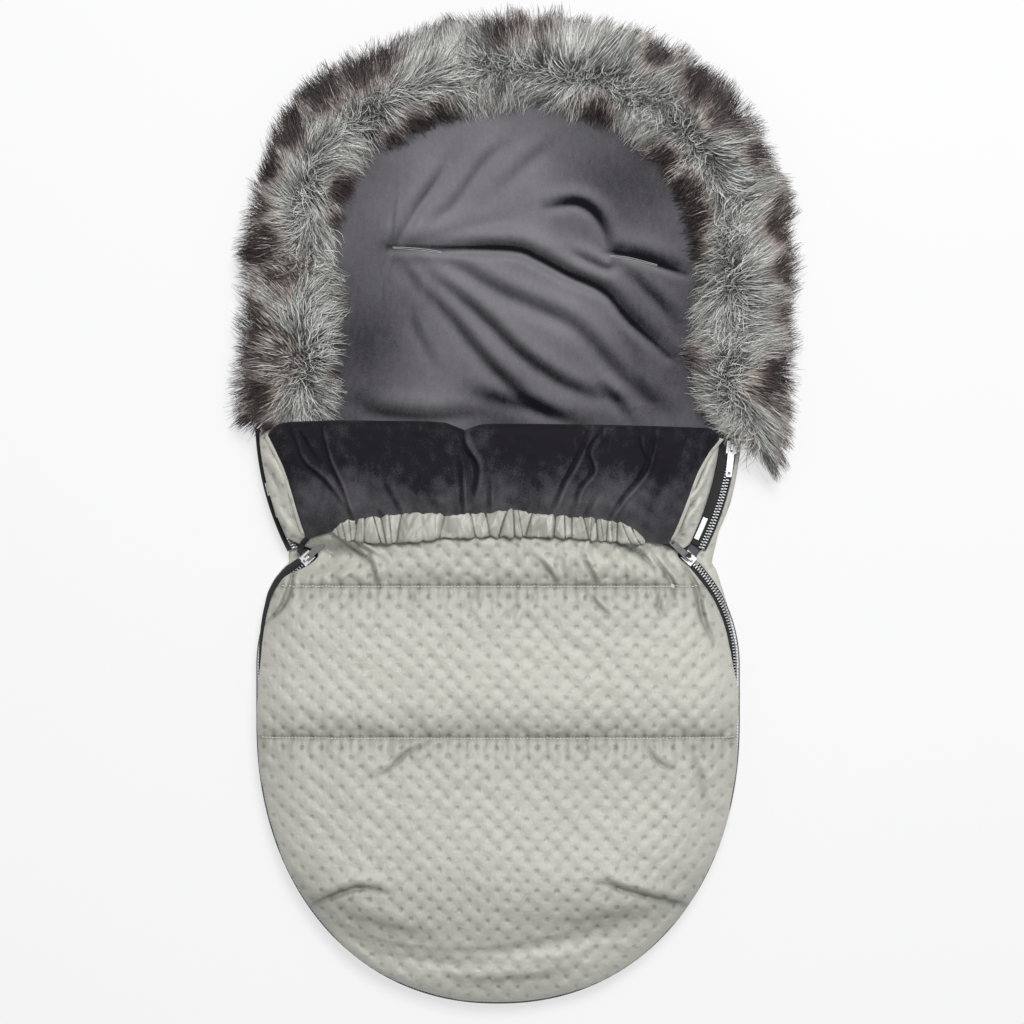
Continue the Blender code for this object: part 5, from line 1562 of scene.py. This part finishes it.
SHARP_TAPE_EDGE = math.radians(50)


def along_path(points):
    """Evenly spread places on a path, with its direction at each."""
    points = np.array(points)
    run = run_of(points)
    places = at_run(np.arange(0, run[-1], PATH_STEP), run, points)
    return places, unit(np.gradient(places, axis=0))


def upper_path(side, low_y, high_y):
    """One side zip from its foot up."""
    turns = np.arcsin((np.linspace(low_y, high_y, 80) - UPPER_TOP_Y) / UPPER_RADIUS)
    middle = UPPER_HALF_WIDTH - UPPER_RADIUS
    x = side * (middle + UPPER_RADIUS * np.cos(turns))
    return along_path(np.stack([x, UPPER_TOP_Y + UPPER_RADIUS * np.sin(turns)], 1))


def lower_path(end_turn):
    """The long zip from the right waist round the foot to the left waist."""
    turns = np.linspace(end_turn, 0, 60)
    centre = ZIP_HALF_WIDTH - WAIST_RADIUS
    right_x, right_y = centre + WAIST_RADIUS * np.cos(turns), FLANK_TOP_Y + WAIST_RADIUS * np.sin(turns)
    right = np.stack([right_x, right_y], 1)
    round_turns = np.linspace(0, np.pi, 400)
    wide = np.abs(np.cos(round_turns)) ** (2 / TOE_FULLNESS) * np.sign(np.cos(round_turns))
    deep = np.abs(np.sin(round_turns)) ** (2 / TOE_FULLNESS)
    foot = np.stack([ZIP_HALF_WIDTH * wide, WIDEST_Y - TOE_LENGTH * deep], 1)
    return along_path(np.concatenate([right, foot, (right * (-1, 1))[::-1]]))


def outward_of(places, course):
    """The level direction square to a path and away from the footmuff's middle line."""
    out = np.stack([course[:, 1], -course[:, 0]], 1)
    inner = np.array([0.0, -0.1])
    facing = np.sign(((places - inner) * out).sum(1))
    return out * facing[:, None]


def metal_paint(shade):
    """Nickel plating, unevenly worn."""
    worn = shade.cloud(shade.place(), METAL_WEAR)
    return {
        "Base Color": worn.between(METAL_DULL, METAL_BRIGHT),
        "Roughness": worn * 0.15 + 0.34,
        "Normal": shade.bump(worn, METAL_RELIEF, 0.3),
    }


zip_metal = finish_of("zip_metal", {"Metallic": 1.0}, metal_paint)


def teeth_paint(shade):
    """Silver teeth, darker where the neighbours rub them."""
    worn = shade.cloud(shade.place(), TEETH_WEAR)
    return {
        "Base Color": worn.between(TEETH_DARK, TEETH_BRIGHT),
        "Roughness": worn * 0.15 + 0.34,
    }


teeth_metal = finish_of("teeth_metal", {"Metallic": 1.0}, teeth_paint)


def tape_paint(shade):
    """Ribbed black tape with a little lint."""
    place = shade.place()
    ribs = shade.ribs(place, TAPE_RIB, "X") + shade.ribs(place, TAPE_RIB, "Y")
    lint = shade.cloud(place, TAPE_LINT_SIZE)
    return {
        "Base Color": lint.between(TAPE_BLACK, TAPE_LINT),
        "Normal": shade.bump(ribs, TAPE_RELIEF, 0.6),
    }


zip_tape = finish_of("zip_tape", {"Roughness": 0.75}, tape_paint)


def facing_turn(out, course):
    """1 or -1, so that faces built outward along the path face outside."""
    return int(np.sign(out[0][0] * course[0][1] - out[0][1] * course[0][0]))


def teeth_row(name, path, side, body, node):
    """A row of single teeth, on the outer half of the zip for side 1 and the inner for -1."""
    places, course = path
    out = outward_of(places, course)
    every = int(round(TOOTH_PITCH / PATH_STEP))
    start = 0 if side < 0 else every // 2
    picks = np.arange(start, len(places), every)
    outline = np.array(TOOTH_OUTLINE) * MM
    centre = outline.mean(0)
    points = []
    for pick in picks:
        for height, share in TOOTH_LEVELS:
            ring = centre + (outline - centre) * share
            flat = places[pick] + out[pick] * side * ring[:, :1] + course[pick] * ring[:, 1:]
            points.append(np.column_stack([flat, np.full(len(flat), ZIP_Z + height * MM)]))
    levels, count = len(TOOTH_LEVELS), len(outline)
    faces = []
    for tooth in range(len(picks)):
        faces += swept_faces(levels, count, side * facing_turn(out, course), tooth * count * levels)
    piece = mesh_piece(name, np.concatenate(points), faces, teeth_metal)
    piece.data.set_sharp_from_angle(angle=SHARP_TOOTH_EDGE)
    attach(piece, body)
    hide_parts(node)
    return piece


def strip(name, path, section, body, nodes, material):
    """A thin strip swept along a path; section gives (outward, height) points, in metres."""
    places, course = path
    out = outward_of(places, course)
    section = np.array(section)
    keep = np.unique(np.concatenate([np.arange(0, len(places), 3), [len(places) - 1]]))
    rings = []
    for pick in keep:
        flat = places[pick] + out[pick] * section[:, :1]
        rings.append(np.column_stack([flat, section[:, 1]]))
    faces = swept_faces(len(keep), len(section), facing_turn(out, course))
    piece = mesh_piece(name, np.concatenate(rings), faces, material)
    piece.data.set_sharp_from_angle(angle=SHARP_TAPE_EDGE)
    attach(piece, body)
    if nodes:
        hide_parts(*nodes)
    return piece


def band(points, thickness):
    """A closed section: the given line of points with the same line under it."""
    lower = [(across, height - thickness) for across, height in reversed(points)]
    return lower + list(points)


# Sections across the tapes, as (outward, height) points: flat ones and ones turned down.
TAPE_TOP = ZIP_Z + TAPE_THICKNESS / 2
TAPE_ROOT = 0.0032
COVER_TAPE_FOOT = ((-0.018, TAPE_TOP), (-TAPE_ROOT, TAPE_TOP))
COVER_TAPE_UPPER = ((-0.021, TAPE_TOP), (-TAPE_ROOT, TAPE_TOP))
BACK_TAPE_FOOT = ((0.0026, TAPE_TOP), (0.0034, TAPE_TOP), (0.0038, TAPE_TOP - 0.0016), (0.0030, 0.0128))
BACK_TAPE_UPPER = ((TAPE_ROOT, TAPE_TOP), (0.0046, TAPE_TOP), (0.0052, TAPE_TOP - 0.0014), (0.0044, 0.0146))
BACK_TAPE_TURNED = ((TAPE_ROOT, TAPE_TOP), (0.0074, TAPE_TOP), (0.0082, TAPE_TOP - 0.0014), (0.0072, 0.0146))
ROLLED_TAPE = ((-0.0068, 0.0196), (-0.0040, 0.0212), (-0.0010, 0.0218), (0.0004, 0.0212), (0.0012, 0.0202))

for name, side in SIDES.items():
    whole = upper_path(side, *UPPER_CHAIN)
    closed = upper_path(side, UPPER_CHAIN[0], UPPER_SLIDER_YS[name] - SLIDER_LENGTH / 2)
    teeth_row(f"upper_zip_teeth_cover_{name}", whole, -1, "cover", f"upper_teeth_cover_{name}")
    teeth_row(f"upper_zip_teeth_back_{name}", closed, 1, "back", f"upper_teeth_back_{name}")
    section = band(COVER_TAPE_UPPER, TAPE_THICKNESS)
    nodes = [f"upper_tape_cover_{name}"]
    strip(f"upper_zip_tape_cover_{name}", whole, section, "cover", nodes, zip_tape)
    section = band(BACK_TAPE_UPPER if side > 0 else BACK_TAPE_TURNED, TAPE_THICKNESS)
    nodes = [f"upper_tape_back_{name}"]
    strip(f"upper_zip_tape_back_{name}", whole, section, "back", nodes, zip_tape)

whole = lower_path(WAIST_TURN)
closed = lower_path(LOWER_SLIDER_TURN - (SLIDER_LENGTH / 2 + TOOTH_PITCH) / WAIST_RADIUS)
teeth_row("long_zip_teeth_cover", whole, -1, "cover", "lower_teeth_cover")
teeth_row("long_zip_teeth_back", closed, 1, "back", "lower_teeth_back")
section = band(COVER_TAPE_FOOT, TAPE_THICKNESS)
strip("long_zip_tape_cover", whole, section, "cover", ["lower_tape_cover"], zip_tape)
section = band(BACK_TAPE_FOOT, TAPE_THICKNESS)
strip("long_zip_tape_back", closed, section, "back", ["lower_tape_back"], zip_tape)

# At the left flank the cover's puffed edge has rolled its tape outward.
ROLLED_YS = (-0.205, -0.052)
ROLLED_LEFT_OF = -0.15
section = band(ROLLED_TAPE, TAPE_THICKNESS)
x, y = whole[0].T
rolled = (x < ROLLED_LEFT_OF) & (y > ROLLED_YS[0]) & (y < ROLLED_YS[1])
puffed = along_path(np.stack([x - read_off(y, LEFT_SWELL), y], 1)[rolled])
strip("long_zip_tape_rolled", puffed, section, "cover", [], zip_tape)

SOFT_EDGE = 0.00035


def refinish(node, material, width):
    """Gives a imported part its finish, and soft edges of the given width."""
    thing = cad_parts[node]
    thing.data.materials.clear()
    thing.data.materials.append(material)
    if width:
        rounding = thing.modifiers.new("soft_edges", "BEVEL")
        rounding.width = width
        rounding.segments = 2
        rounding.limit_method = "ANGLE"
        rounding.harden_normals = True


for name in SIDES:
    for row in ("upper", "lower"):
        refinish(f"{row}_slider_{name}", zip_metal, SOFT_EDGE)
        refinish(f"{row}_pull_{name}", zip_metal, SOFT_EDGE)


TAIL_LINES = {
    "right": ((153, -31), (168, -37), (182, -44), (193, -50)),
    "left": ((-184, -25), (-190, -32), (-197, -40), (-199, -47)),
}
TAIL_HALF_WIDTH = 0.0026
TAIL_LIFT = 0.0006


def tape_tail(name, line):
    """The long zip's tape end, turned in over the quilt and sewn down under the cuff."""
    places, along = smooth_line(line)
    out = np.stack([-along[:, 1], along[:, 0]], 1)
    spread = np.linspace(-1, 1, 5)
    flat = places[:, None] + out[:, None] * (spread * TAIL_HALF_WIDTH)[None, :, None]
    ground = np.maximum(on_cover(flat[..., 0], flat[..., 1]), TAPE_TOP) + TAIL_LIFT
    upper = np.concatenate([flat, (ground + TAPE_THICKNESS)[..., None]], -1)
    lower = np.concatenate([flat, ground[..., None]], -1)[:, ::-1]
    rings = np.concatenate([upper, lower], 1)
    faces = swept_faces(*rings.shape[:2], turn=-1)
    tail = mesh_piece(f"zip_tape_tail_{name}", rings.reshape(-1, 3), faces, zip_tape)
    tail.data.set_sharp_from_angle(angle=SHARP_TAPE_EDGE)
    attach(tail, "cover")
    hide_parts(f"tape_tail_{name}")


for name, line in TAIL_LINES.items():
    tape_tail(name, line)


FILM_WHITE = (0.86, 0.88, 0.92, 1)
FILM_SCUFF = 0.003
FILM_RELIEF = 0.0003


def film_paint(shade):
    """Smooth blank film, lightly scuffed."""
    scuff = shade.cloud(shade.place(), FILM_SCUFF)
    return {"Roughness": scuff * 0.2 + 0.25, "Normal": shade.bump(scuff, FILM_RELIEF, 0.4)}


film = finish_of("film", {"Base Color": FILM_WHITE, "Specular IOR Level": 0.6}, film_paint)
refinish("zip_end_film", film, 0)


# Fur trim
# Long-pile acrylic fur on a woven band sewn round the hood. The pile falls both ways from a
# wandering parting, lies in tufts, and its dark brown tips show in patches along both edges.

FUR_OUTER = (
    (-270, 88), (-261, 176), (-255, 256), (-250, 306), (-241, 356), (-224, 392), (-197, 421),
    (-158, 446), (-108, 467), (-58, 484), (2, 493), (62, 491), (102, 487), (152, 474),
    (192, 456), (227, 431), (253, 405), (275, 365), (293, 325), (304, 285), (307, 246),
    (305, 206), (302, 166), (300, 126), (297, 86), (290, 58), (274, 36),
)
FUR_INNER = (
    (-158, 90), (-155, 130), (-152, 176), (-155, 226), (-159, 266), (-156, 306), (-146, 328),
    (-128, 348), (-103, 362), (-78, 377), (-48, 389), (2, 397), (42, 397), (72, 393),
    (102, 386), (127, 366), (147, 347), (167, 328), (182, 306), (191, 270), (190, 246),
    (184, 206), (182, 166), (183, 132), (186, 116), (204, 106), (238, 96),
)
FUR_LINE_POINTS = 200
FUR_MARGIN = 0.23
FUR_ROOT_Z = 0.0155
FUR_RISE = 0.0255
FUR_ROUNDNESS = 2.4
FUR_STRANDS = 54000
FUR_PIECES = 5
STRAND_STEPS = 6
STRAND_LENGTH = 0.036
STRAND_WIDTH = 0.00068
STRAND_TIP_WIDTH = 0.00012
STRAND_LIFT = 0.42
OUTER_CURL = 0.0009
INNER_CURL = 0.0016
LOWEST_STRAND = 0.0012
LOWEST_UNEVEN = 0.002
# The shares of the fur's length over which its two ends lean another way.
FIRST_END = 0.035
LAST_END = 0.045
# Tufts are given by seed, rows along the fur and columns across it.
TUFTS = (63, 110, 7)
TUFT_DRAW = 0.70
TUFT_SWAY_WAVES = (10, 0.10, 0.5)
FINE_TUFTS = (67, 420, 24)
FINE_DRAW = 0.48
PARTING_WAVES = (61, 12, 0.03, 0.12)
LEAN_WAVES = (62, 12, 0.06, 0.20)
TONE_WAVES = (65, 12, 0.03, 0.10)
PIECE_SEED = 600
PARTING = ((0.0, -0.25), (0.08, -0.40), (0.2, -0.52), (0.28, -0.35), (0.36, -0.45), (0.46, -0.28))
PARTING += ((0.55, -0.42), (0.64, -0.34), (0.74, -0.48), (0.84, -0.50), (0.92, -0.40), (1.0, -0.15))
# Patches of dark tips: place, reach and darkness.
DARK_PATCHES = (
    (-245, 110, 26, 1.0), (-232, 160, 34, 1.0), (-250, 190, 22, 0.9), (-222, 235, 24, 1.0),
    (-246, 262, 22, 1.0), (-250, 300, 18, 0.8), (-236, 345, 20, 0.8), (-215, 385, 26, 1.0),
    (-180, 420, 26, 1.0), (-140, 442, 26, 1.0), (-112, 452, 20, 0.9), (-4, 478, 17, 1.0),
    (18, 484, 14, 0.8), (44, 480, 14, 0.6), (166, 456, 18, 0.9), (212, 425, 26, 1.0),
    (236, 402, 26, 1.0), (228, 388, 26, 0.8), (268, 350, 18, 0.7), (292, 288, 26, 1.0),
    (298, 240, 20, 0.8), (290, 130, 26, 1.0), (276, 110, 26, 0.9), (290, 190, 14, 0.5),
    (-72, 372, 18, 1.0), (-52, 388, 16, 0.9), (-98, 358, 16, 0.9), (-148, 312, 18, 1.0),
    (-156, 280, 12, 0.8), (98, 388, 18, 1.0), (74, 398, 12, 0.7), (162, 340, 20, 1.0),
    (182, 310, 22, 1.0), (188, 285, 22, 1.0), (186, 255, 16, 0.9), (190, 150, 12, 0.5),
    (-158, 130, 12, 0.5), (-262, 70, 20, 0.9), (250, 60, 12, 0.4), (-240, 60, 24, 0.8),
)
PATCH_SPREAD = 0.95
MIDDLE_TONE = 0.405
RIM_DARKNESS = 0.70
TONE_STEPS = 16
# The roots' colours: their own darker grey, deepened as painted shade deep in the pile.
ROOT_SHADE_DARK = (0.028, 0.028, 0.027)
ROOT_SHADE_LIGHT = (0.075, 0.075, 0.072)
PILE_DARK = (0.062, 0.063, 0.059)
PILE_LIGHT = (0.86, 0.87, 0.83)
BEIGE_DARK = (0.16, 0.135, 0.122)
BEIGE_LIGHT = (0.62, 0.54, 0.50)
BROWN_DARK = (0.005, 0.004, 0.004)
BROWN_LIGHT = (0.080, 0.056, 0.053)


def even_line(points):
    """Places spread evenly along a line of listed points, with its corners smoothed."""
    points = np.array(points, float) * MM
    run = run_of(points)
    line = at_run(np.linspace(0, run[-1], FUR_LINE_POINTS), run, points)
    weights = np.hanning(15)[1:-1]
    padded = np.concatenate([np.repeat(line[:1], 6, 0), line, np.repeat(line[-1:], 6, 0)])
    return np.stack([np.convolve(padded[:, k], weights / weights.sum(), "valid") for k in (0, 1)], 1)


INNER_LINE, OUTER_LINE = even_line(FUR_INNER), even_line(FUR_OUTER)
FUR_COURSE = unit(np.gradient((INNER_LINE + OUTER_LINE) / 2, axis=0))


def fur_frame(along):
    """Inner and outer edge of the fur, and its course, at shares of its length."""
    shares = np.linspace(0, 1, FUR_LINE_POINTS)
    return [at_run(along, shares, line) for line in (INNER_LINE, OUTER_LINE, FUR_COURSE)]


def fur_ground(along, across):
    """Place, way out and course of the band that the pile grows from; across is -1 to 1."""
    inner, outer, course = fur_frame(along)
    share = (FUR_MARGIN + (1 - 2 * FUR_MARGIN) * (across + 1) / 2)[..., None]
    place = inner + (outer - inner) * share
    ends = np.clip(np.minimum(along, 1 - along) / 0.03, 0, 1)
    fullness = (1 - (1 - ends) ** 2) * 0.45 + 0.55
    height = FUR_ROOT_Z + FUR_RISE * fullness * (1 - np.abs(across) ** FUR_ROUNDNESS) ** 0.6
    return np.concatenate([place, height[..., None]], -1), outer - inner, course


def tuft_places(along, across, seed, rows, columns):
    """Each root's tuft: the tuft's middle and its own random values."""
    draw = np.random.default_rng(seed)
    shift = draw.random((rows + 2, columns + 2, 2)) - 0.5
    values = draw.random((rows + 2, columns + 2, 6))
    sway = ripples(seed + 1, *TUFT_SWAY_WAVES)
    row = along * rows + 0.8 * sway(along * 8, across) + 0.5
    column = (across + 1) / 2 * columns + 0.6 * sway(across + 5, along * 8) + 0.5 * (np.floor(row) % 2)
    r, c = np.clip(row.astype(int), 0, rows + 1), np.clip(column.astype(int), 0, columns + 1)
    middle_along = np.clip((r + 0.5 * shift[r, c, 0]) / rows, 0, 1)
    middle_across = np.clip((c + 0.5 * shift[r, c, 1]) / columns * 2 - 1, -1, 1)
    return middle_along, middle_across, values[r, c]


def parting_at(along):
    """Where across the fur the pile parts."""
    return np.interp(along, *np.array(PARTING).T)


def fur_course(along, across, lift, turn, stray=0.0):
    """Roots of strands, and the directions that they start and end in."""
    ground, outward, course = fur_ground(along, across)
    outward = unit(outward)
    parting = parting_at(along)
    x, y = ground[..., 0], ground[..., 1]
    side = np.tanh((across - parting + stray + 0.25 * ripples(*PARTING_WAVES)(x, y)) / 0.34)
    lean = 0.55 * ripples(*LEAN_WAVES)(x, y) + turn
    end_pull = np.clip(1 - along / FIRST_END, 0, 1) * -0.8
    last = np.clip(1 - (1 - along) / LAST_END, 0, 1)
    end_pull = end_pull + last * (0.35 + 1.1 * ease(across * 1.2))
    flat = outward * side[..., None] + course * (lean + end_pull)[..., None]
    flat = flat / np.maximum(np.linalg.norm(flat, axis=-1, keepdims=True), 0.35)
    slope = np.abs(across) ** 1.5
    rise = lift * (1 - 0.55 * slope)
    start = np.concatenate([flat, (rise + 0.35 * (1 - np.abs(side)))[..., None]], -1)
    end = np.concatenate([flat, (rise - 0.75 - 0.25 * slope)[..., None]], -1)
    return ground, unit(start), unit(end)


def strand_points(ground, start, end, length, shares):
    """Points along the strands, each bending from its start direction to its end direction."""
    t = shares[None, :, None]
    reach = length[:, None, None]
    return ground[:, None] + reach * ((t - t**2 / 2) * start[:, None] + t**2 / 2 * end[:, None])


def darkness(x, y):
    """How dark the tips are at these places, 0 to 1."""
    total = np.zeros(x.shape)
    for px, py, reach, weight in DARK_PATCHES:
        away = ((x - px * MM) ** 2 + (y - py * MM) ** 2) / (reach * PATCH_SPREAD * MM) ** 2
        total = np.maximum(total, weight * np.exp(-(away**1.5)))
    return total


def fur_paint(shade):
    """Grey pile with darker roots, partly painted shade deep in the pile; dark strands pass through beige to
    brown-black tips.
    """
    along, tone, dark = shade.field("along"), shade.field("tone"), shade.field("dark")
    root = tone.between(ROOT_SHADE_DARK, ROOT_SHADE_LIGHT)
    lit = tone.between(PILE_DARK, PILE_LIGHT)
    grey = (along * 2.5 - 0.34).share().between(root, lit)
    beige = tone.between(BEIGE_DARK, BEIGE_LIGHT)
    brown = tone.between(BROWN_DARK, BROWN_LIGHT)
    start = 1 - dark * 0.68
    toward_beige = ((along - start + 0.24) * 4.5).share() * (dark * 6).share()
    toward_brown = ((along - start) * 5.5).share()
    return {"Base Color": toward_brown.between(toward_beige.between(grey, beige), brown)}


fur_pile = finish_of(
    "fur_pile",
    {"Roughness": 0.50, "Specular IOR Level": 0.35, "Sheen Weight": 0.10},
    fur_paint,
)


def stepped(values):
    """Values rounded to the tone steps of the baked picture, with their step numbers."""
    step = np.clip(np.floor(np.clip(values, 0, 1) * TONE_STEPS), 0, TONE_STEPS - 1)
    return (step + 0.5) / TONE_STEPS, step


def fur_piece(number, count):
    """One length of the fur: its strands as thin ribbons, drawn together into tufts."""
    draw = np.random.default_rng(PIECE_SEED + number)
    low, high = number / FUR_PIECES, (number + 1) / FUR_PIECES
    along = low + (high - low) * draw.random(count)
    across = 1.98 * draw.random(count) - 0.99
    middle_along, middle_across, tuft = tuft_places(along, across, *TUFTS)
    fine_along, fine_across, fine = tuft_places(along, across, *FINE_TUFTS)
    length = STRAND_LENGTH * (0.72 + 0.36 * draw.random(count)) * (0.82 + 0.36 * tuft[:, 0])
    parting = parting_at(along)
    past = across - parting
    outer_length = 1.22 - 0.22 * np.clip(past / (1 - parting), 0, 1)
    inner_length = 0.80 + 0.20 * np.clip(-past / (1 + parting), 0, 1)
    length *= np.where(past > 0, outer_length, inner_length)
    tuft_turn = 0.5 * (tuft[:, 1] - 0.5)
    turn = tuft_turn + 0.30 * draw.standard_normal(count)
    tuft_lift = STRAND_LIFT + 0.30 * (tuft[:, 2] - 0.5)
    lift = tuft_lift + 0.12 * draw.standard_normal(count)
    stray = 0.34 * draw.standard_normal(count)
    shares = np.linspace(0, 1, STRAND_STEPS + 1)
    ground, start, end = fur_course(along, across, lift, turn, stray)
    line = strand_points(ground, start, end, length, shares)
    tuft_parts = fur_course(middle_along, middle_across, tuft_lift, tuft_turn)
    tuft_line = strand_points(*tuft_parts, length * 1.04, shares)
    drawn = TUFT_DRAW * (0.5 + 0.5 * tuft[:, 3, None, None])
    line = line + (tuft_line - line) * (drawn * shares[None, :, None] ** 1.7)
    fine_parts = fur_course(fine_along, fine_across, tuft_lift, 0.9 * (fine[:, 1] - 0.5))
    fine_line = strand_points(*fine_parts, length, shares)
    drawn = 0.3 + 0.7 * fine[:, 3, None, None]
    line = line + (fine_line - line) * FINE_DRAW * drawn * shares[None, :, None] ** 0.8
    curl = np.where(past > 0, OUTER_CURL, INNER_CURL)[:, None]
    for axis in range(3):
        turns = shares[None] * draw.uniform(5, 11, (count, 1)) + draw.random((count, 1)) * 6.3
        line[..., axis] += curl * np.sin(turns) * shares[None] ** 0.7
    line[..., 2] = np.maximum(line[..., 2], LOWEST_STRAND + LOWEST_UNEVEN * draw.random((count, 1)))
    course = np.gradient(line, axis=1)
    twist_x, twist_y = (0.35 * draw.standard_normal(count) for _ in range(2))
    face_up = np.stack([twist_x, twist_y, np.ones(count)], -1)
    wide = np.cross(course, face_up[:, None])
    wide /= np.maximum(np.linalg.norm(wide, axis=-1, keepdims=True), 1e-9)
    half = (STRAND_WIDTH + (STRAND_TIP_WIDTH - STRAND_WIDTH) * shares**1.4) / 2
    half = half[None, :, None] * (0.75 + 0.5 * draw.random((count, 1, 1)))
    points = np.stack([line - wide * half, line + wide * half], 2).reshape(-1, 3)
    tip = line[:, -1]
    tone = MIDDLE_TONE + 0.42 * (tuft[:, 4] - 0.5) + 0.88 * (fine[:, 4] - 0.5)
    tone = tone + 0.22 * draw.standard_normal(count)
    tone += 0.14 * ripples(*TONE_WAVES)(ground[:, 0], ground[:, 1])
    rim = RIM_DARKNESS * ease((across - 0.48) / 0.45)
    patch = np.maximum(darkness(tip[:, 0], tip[:, 1]), rim)
    dark = patch * (1 + 0.35 * (tuft[:, 5] - 0.5)) + 0.07 * draw.standard_normal(count)
    tone, tone_step = stepped(tone)
    dark, dark_step = stepped(dark)
    per = 2 * (STRAND_STEPS + 1)
    base = np.arange(count)[:, None] * per + 2 * np.arange(STRAND_STEPS)[None]
    faces = np.stack([base, base + 1, base + 3, base + 2], -1).reshape(-1, 4).tolist()
    fields = {
        "along": np.broadcast_to(shares[None, :, None], (count, STRAND_STEPS + 1, 2)),
        "tone": np.repeat(tone, per),
        "dark": np.repeat(dark, per),
    }
    piece = mesh_piece(f"fur_pile_{number + 1}", points, faces, fur_pile, fields)
    cell = (tone_step * TONE_STEPS + dark_step)[:, None, None]
    side = np.array([0.1, 0.9])[None, None]
    u = (cell + side) / TONE_STEPS**2 + 0 * shares[None, :, None]
    v = 0.01 + 0.98 * shares[None, :, None] + 0 * u
    give_bake_map(piece, u, v)
    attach(piece, "back")
    return piece


strands = FUR_STRANDS
for number in range(FUR_PIECES):
    fur_piece(number, strands // FUR_PIECES)


# The underfur's dark colours are partly painted shade between the strands.
UNDERFUR_SHADE_DARK = (0.020, 0.019, 0.018)
UNDERFUR_SHADE_LIGHT = (0.075, 0.074, 0.070)
UNDERFUR_SINK = 0.003
UNDERFUR_TURN = 0.004
UNDERFUR_TUFT = 0.004
UNDERFUR_WIDTH = 0.995
BAND_SINK = 0.004


def underfur_paint(shade):
    """Short dense underfur in small tufts, dark partly as painted shade between the long strands."""
    tuft = shade.cloud(shade.place(), UNDERFUR_TUFT)
    return {"Base Color": tuft.between(UNDERFUR_SHADE_DARK, UNDERFUR_SHADE_LIGHT)}


fur_under = finish_of("fur_under", {"Roughness": 0.9, "Specular IOR Level": 0.1}, underfur_paint)


def fur_backing():
    """The woven band under the fur, as wide as the rows that its roots are knitted into."""
    widths = np.linspace(FUR_MARGIN, 1 - FUR_MARGIN, 5)
    along, share = np.meshgrid(np.linspace(0.01, 0.99, 140), widths)
    inner, outer, _ = fur_frame(along)
    place = inner + (outer - inner) * share[..., None]
    points = as_points(*np.moveaxis(place, -1, 0), np.full(along.shape, FUR_ROOT_Z - BAND_SINK))
    band = mesh_piece("fur_backing_band", points, grid_faces(*along.shape), fur_under)
    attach(band, "back")
    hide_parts("fur_band")
    return band


def fur_base():
    """The dense dark underfur, which the long pile stands on; its darkness is partly painted shade."""
    along, turn = np.meshgrid(np.linspace(0, 1, 150), np.linspace(0, 1, 25))
    around = turn * 2.6 - 1.3
    place, outward, _ = fur_ground(along, np.clip(around, -1, 1) * UNDERFUR_WIDTH)
    beyond = np.clip(np.abs(around) - 1, 0, 1)
    place[..., :2] -= outward * (np.sign(turn - 0.5) * beyond * 0.5)[..., None]
    place[..., 2] -= UNDERFUR_SINK + beyond * UNDERFUR_TURN
    deep, wide = along.shape
    last = (deep - 1) * wide
    start = tuple(row * wide for row in range(deep))
    end = tuple(row * wide + wide - 1 for row in range(deep))
    bottom = [(k + last, k + 1 + last, k + 1, k) for k in range(wide - 1)]
    faces = grid_faces(deep, wide) + [start[::-1], end] + bottom
    return mesh_piece("fur_underfur", place.reshape(-1, 3), faces, fur_under)


backing = fur_backing()
underfur = fur_base()
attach(underfur, "back")
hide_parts("fur_trim")
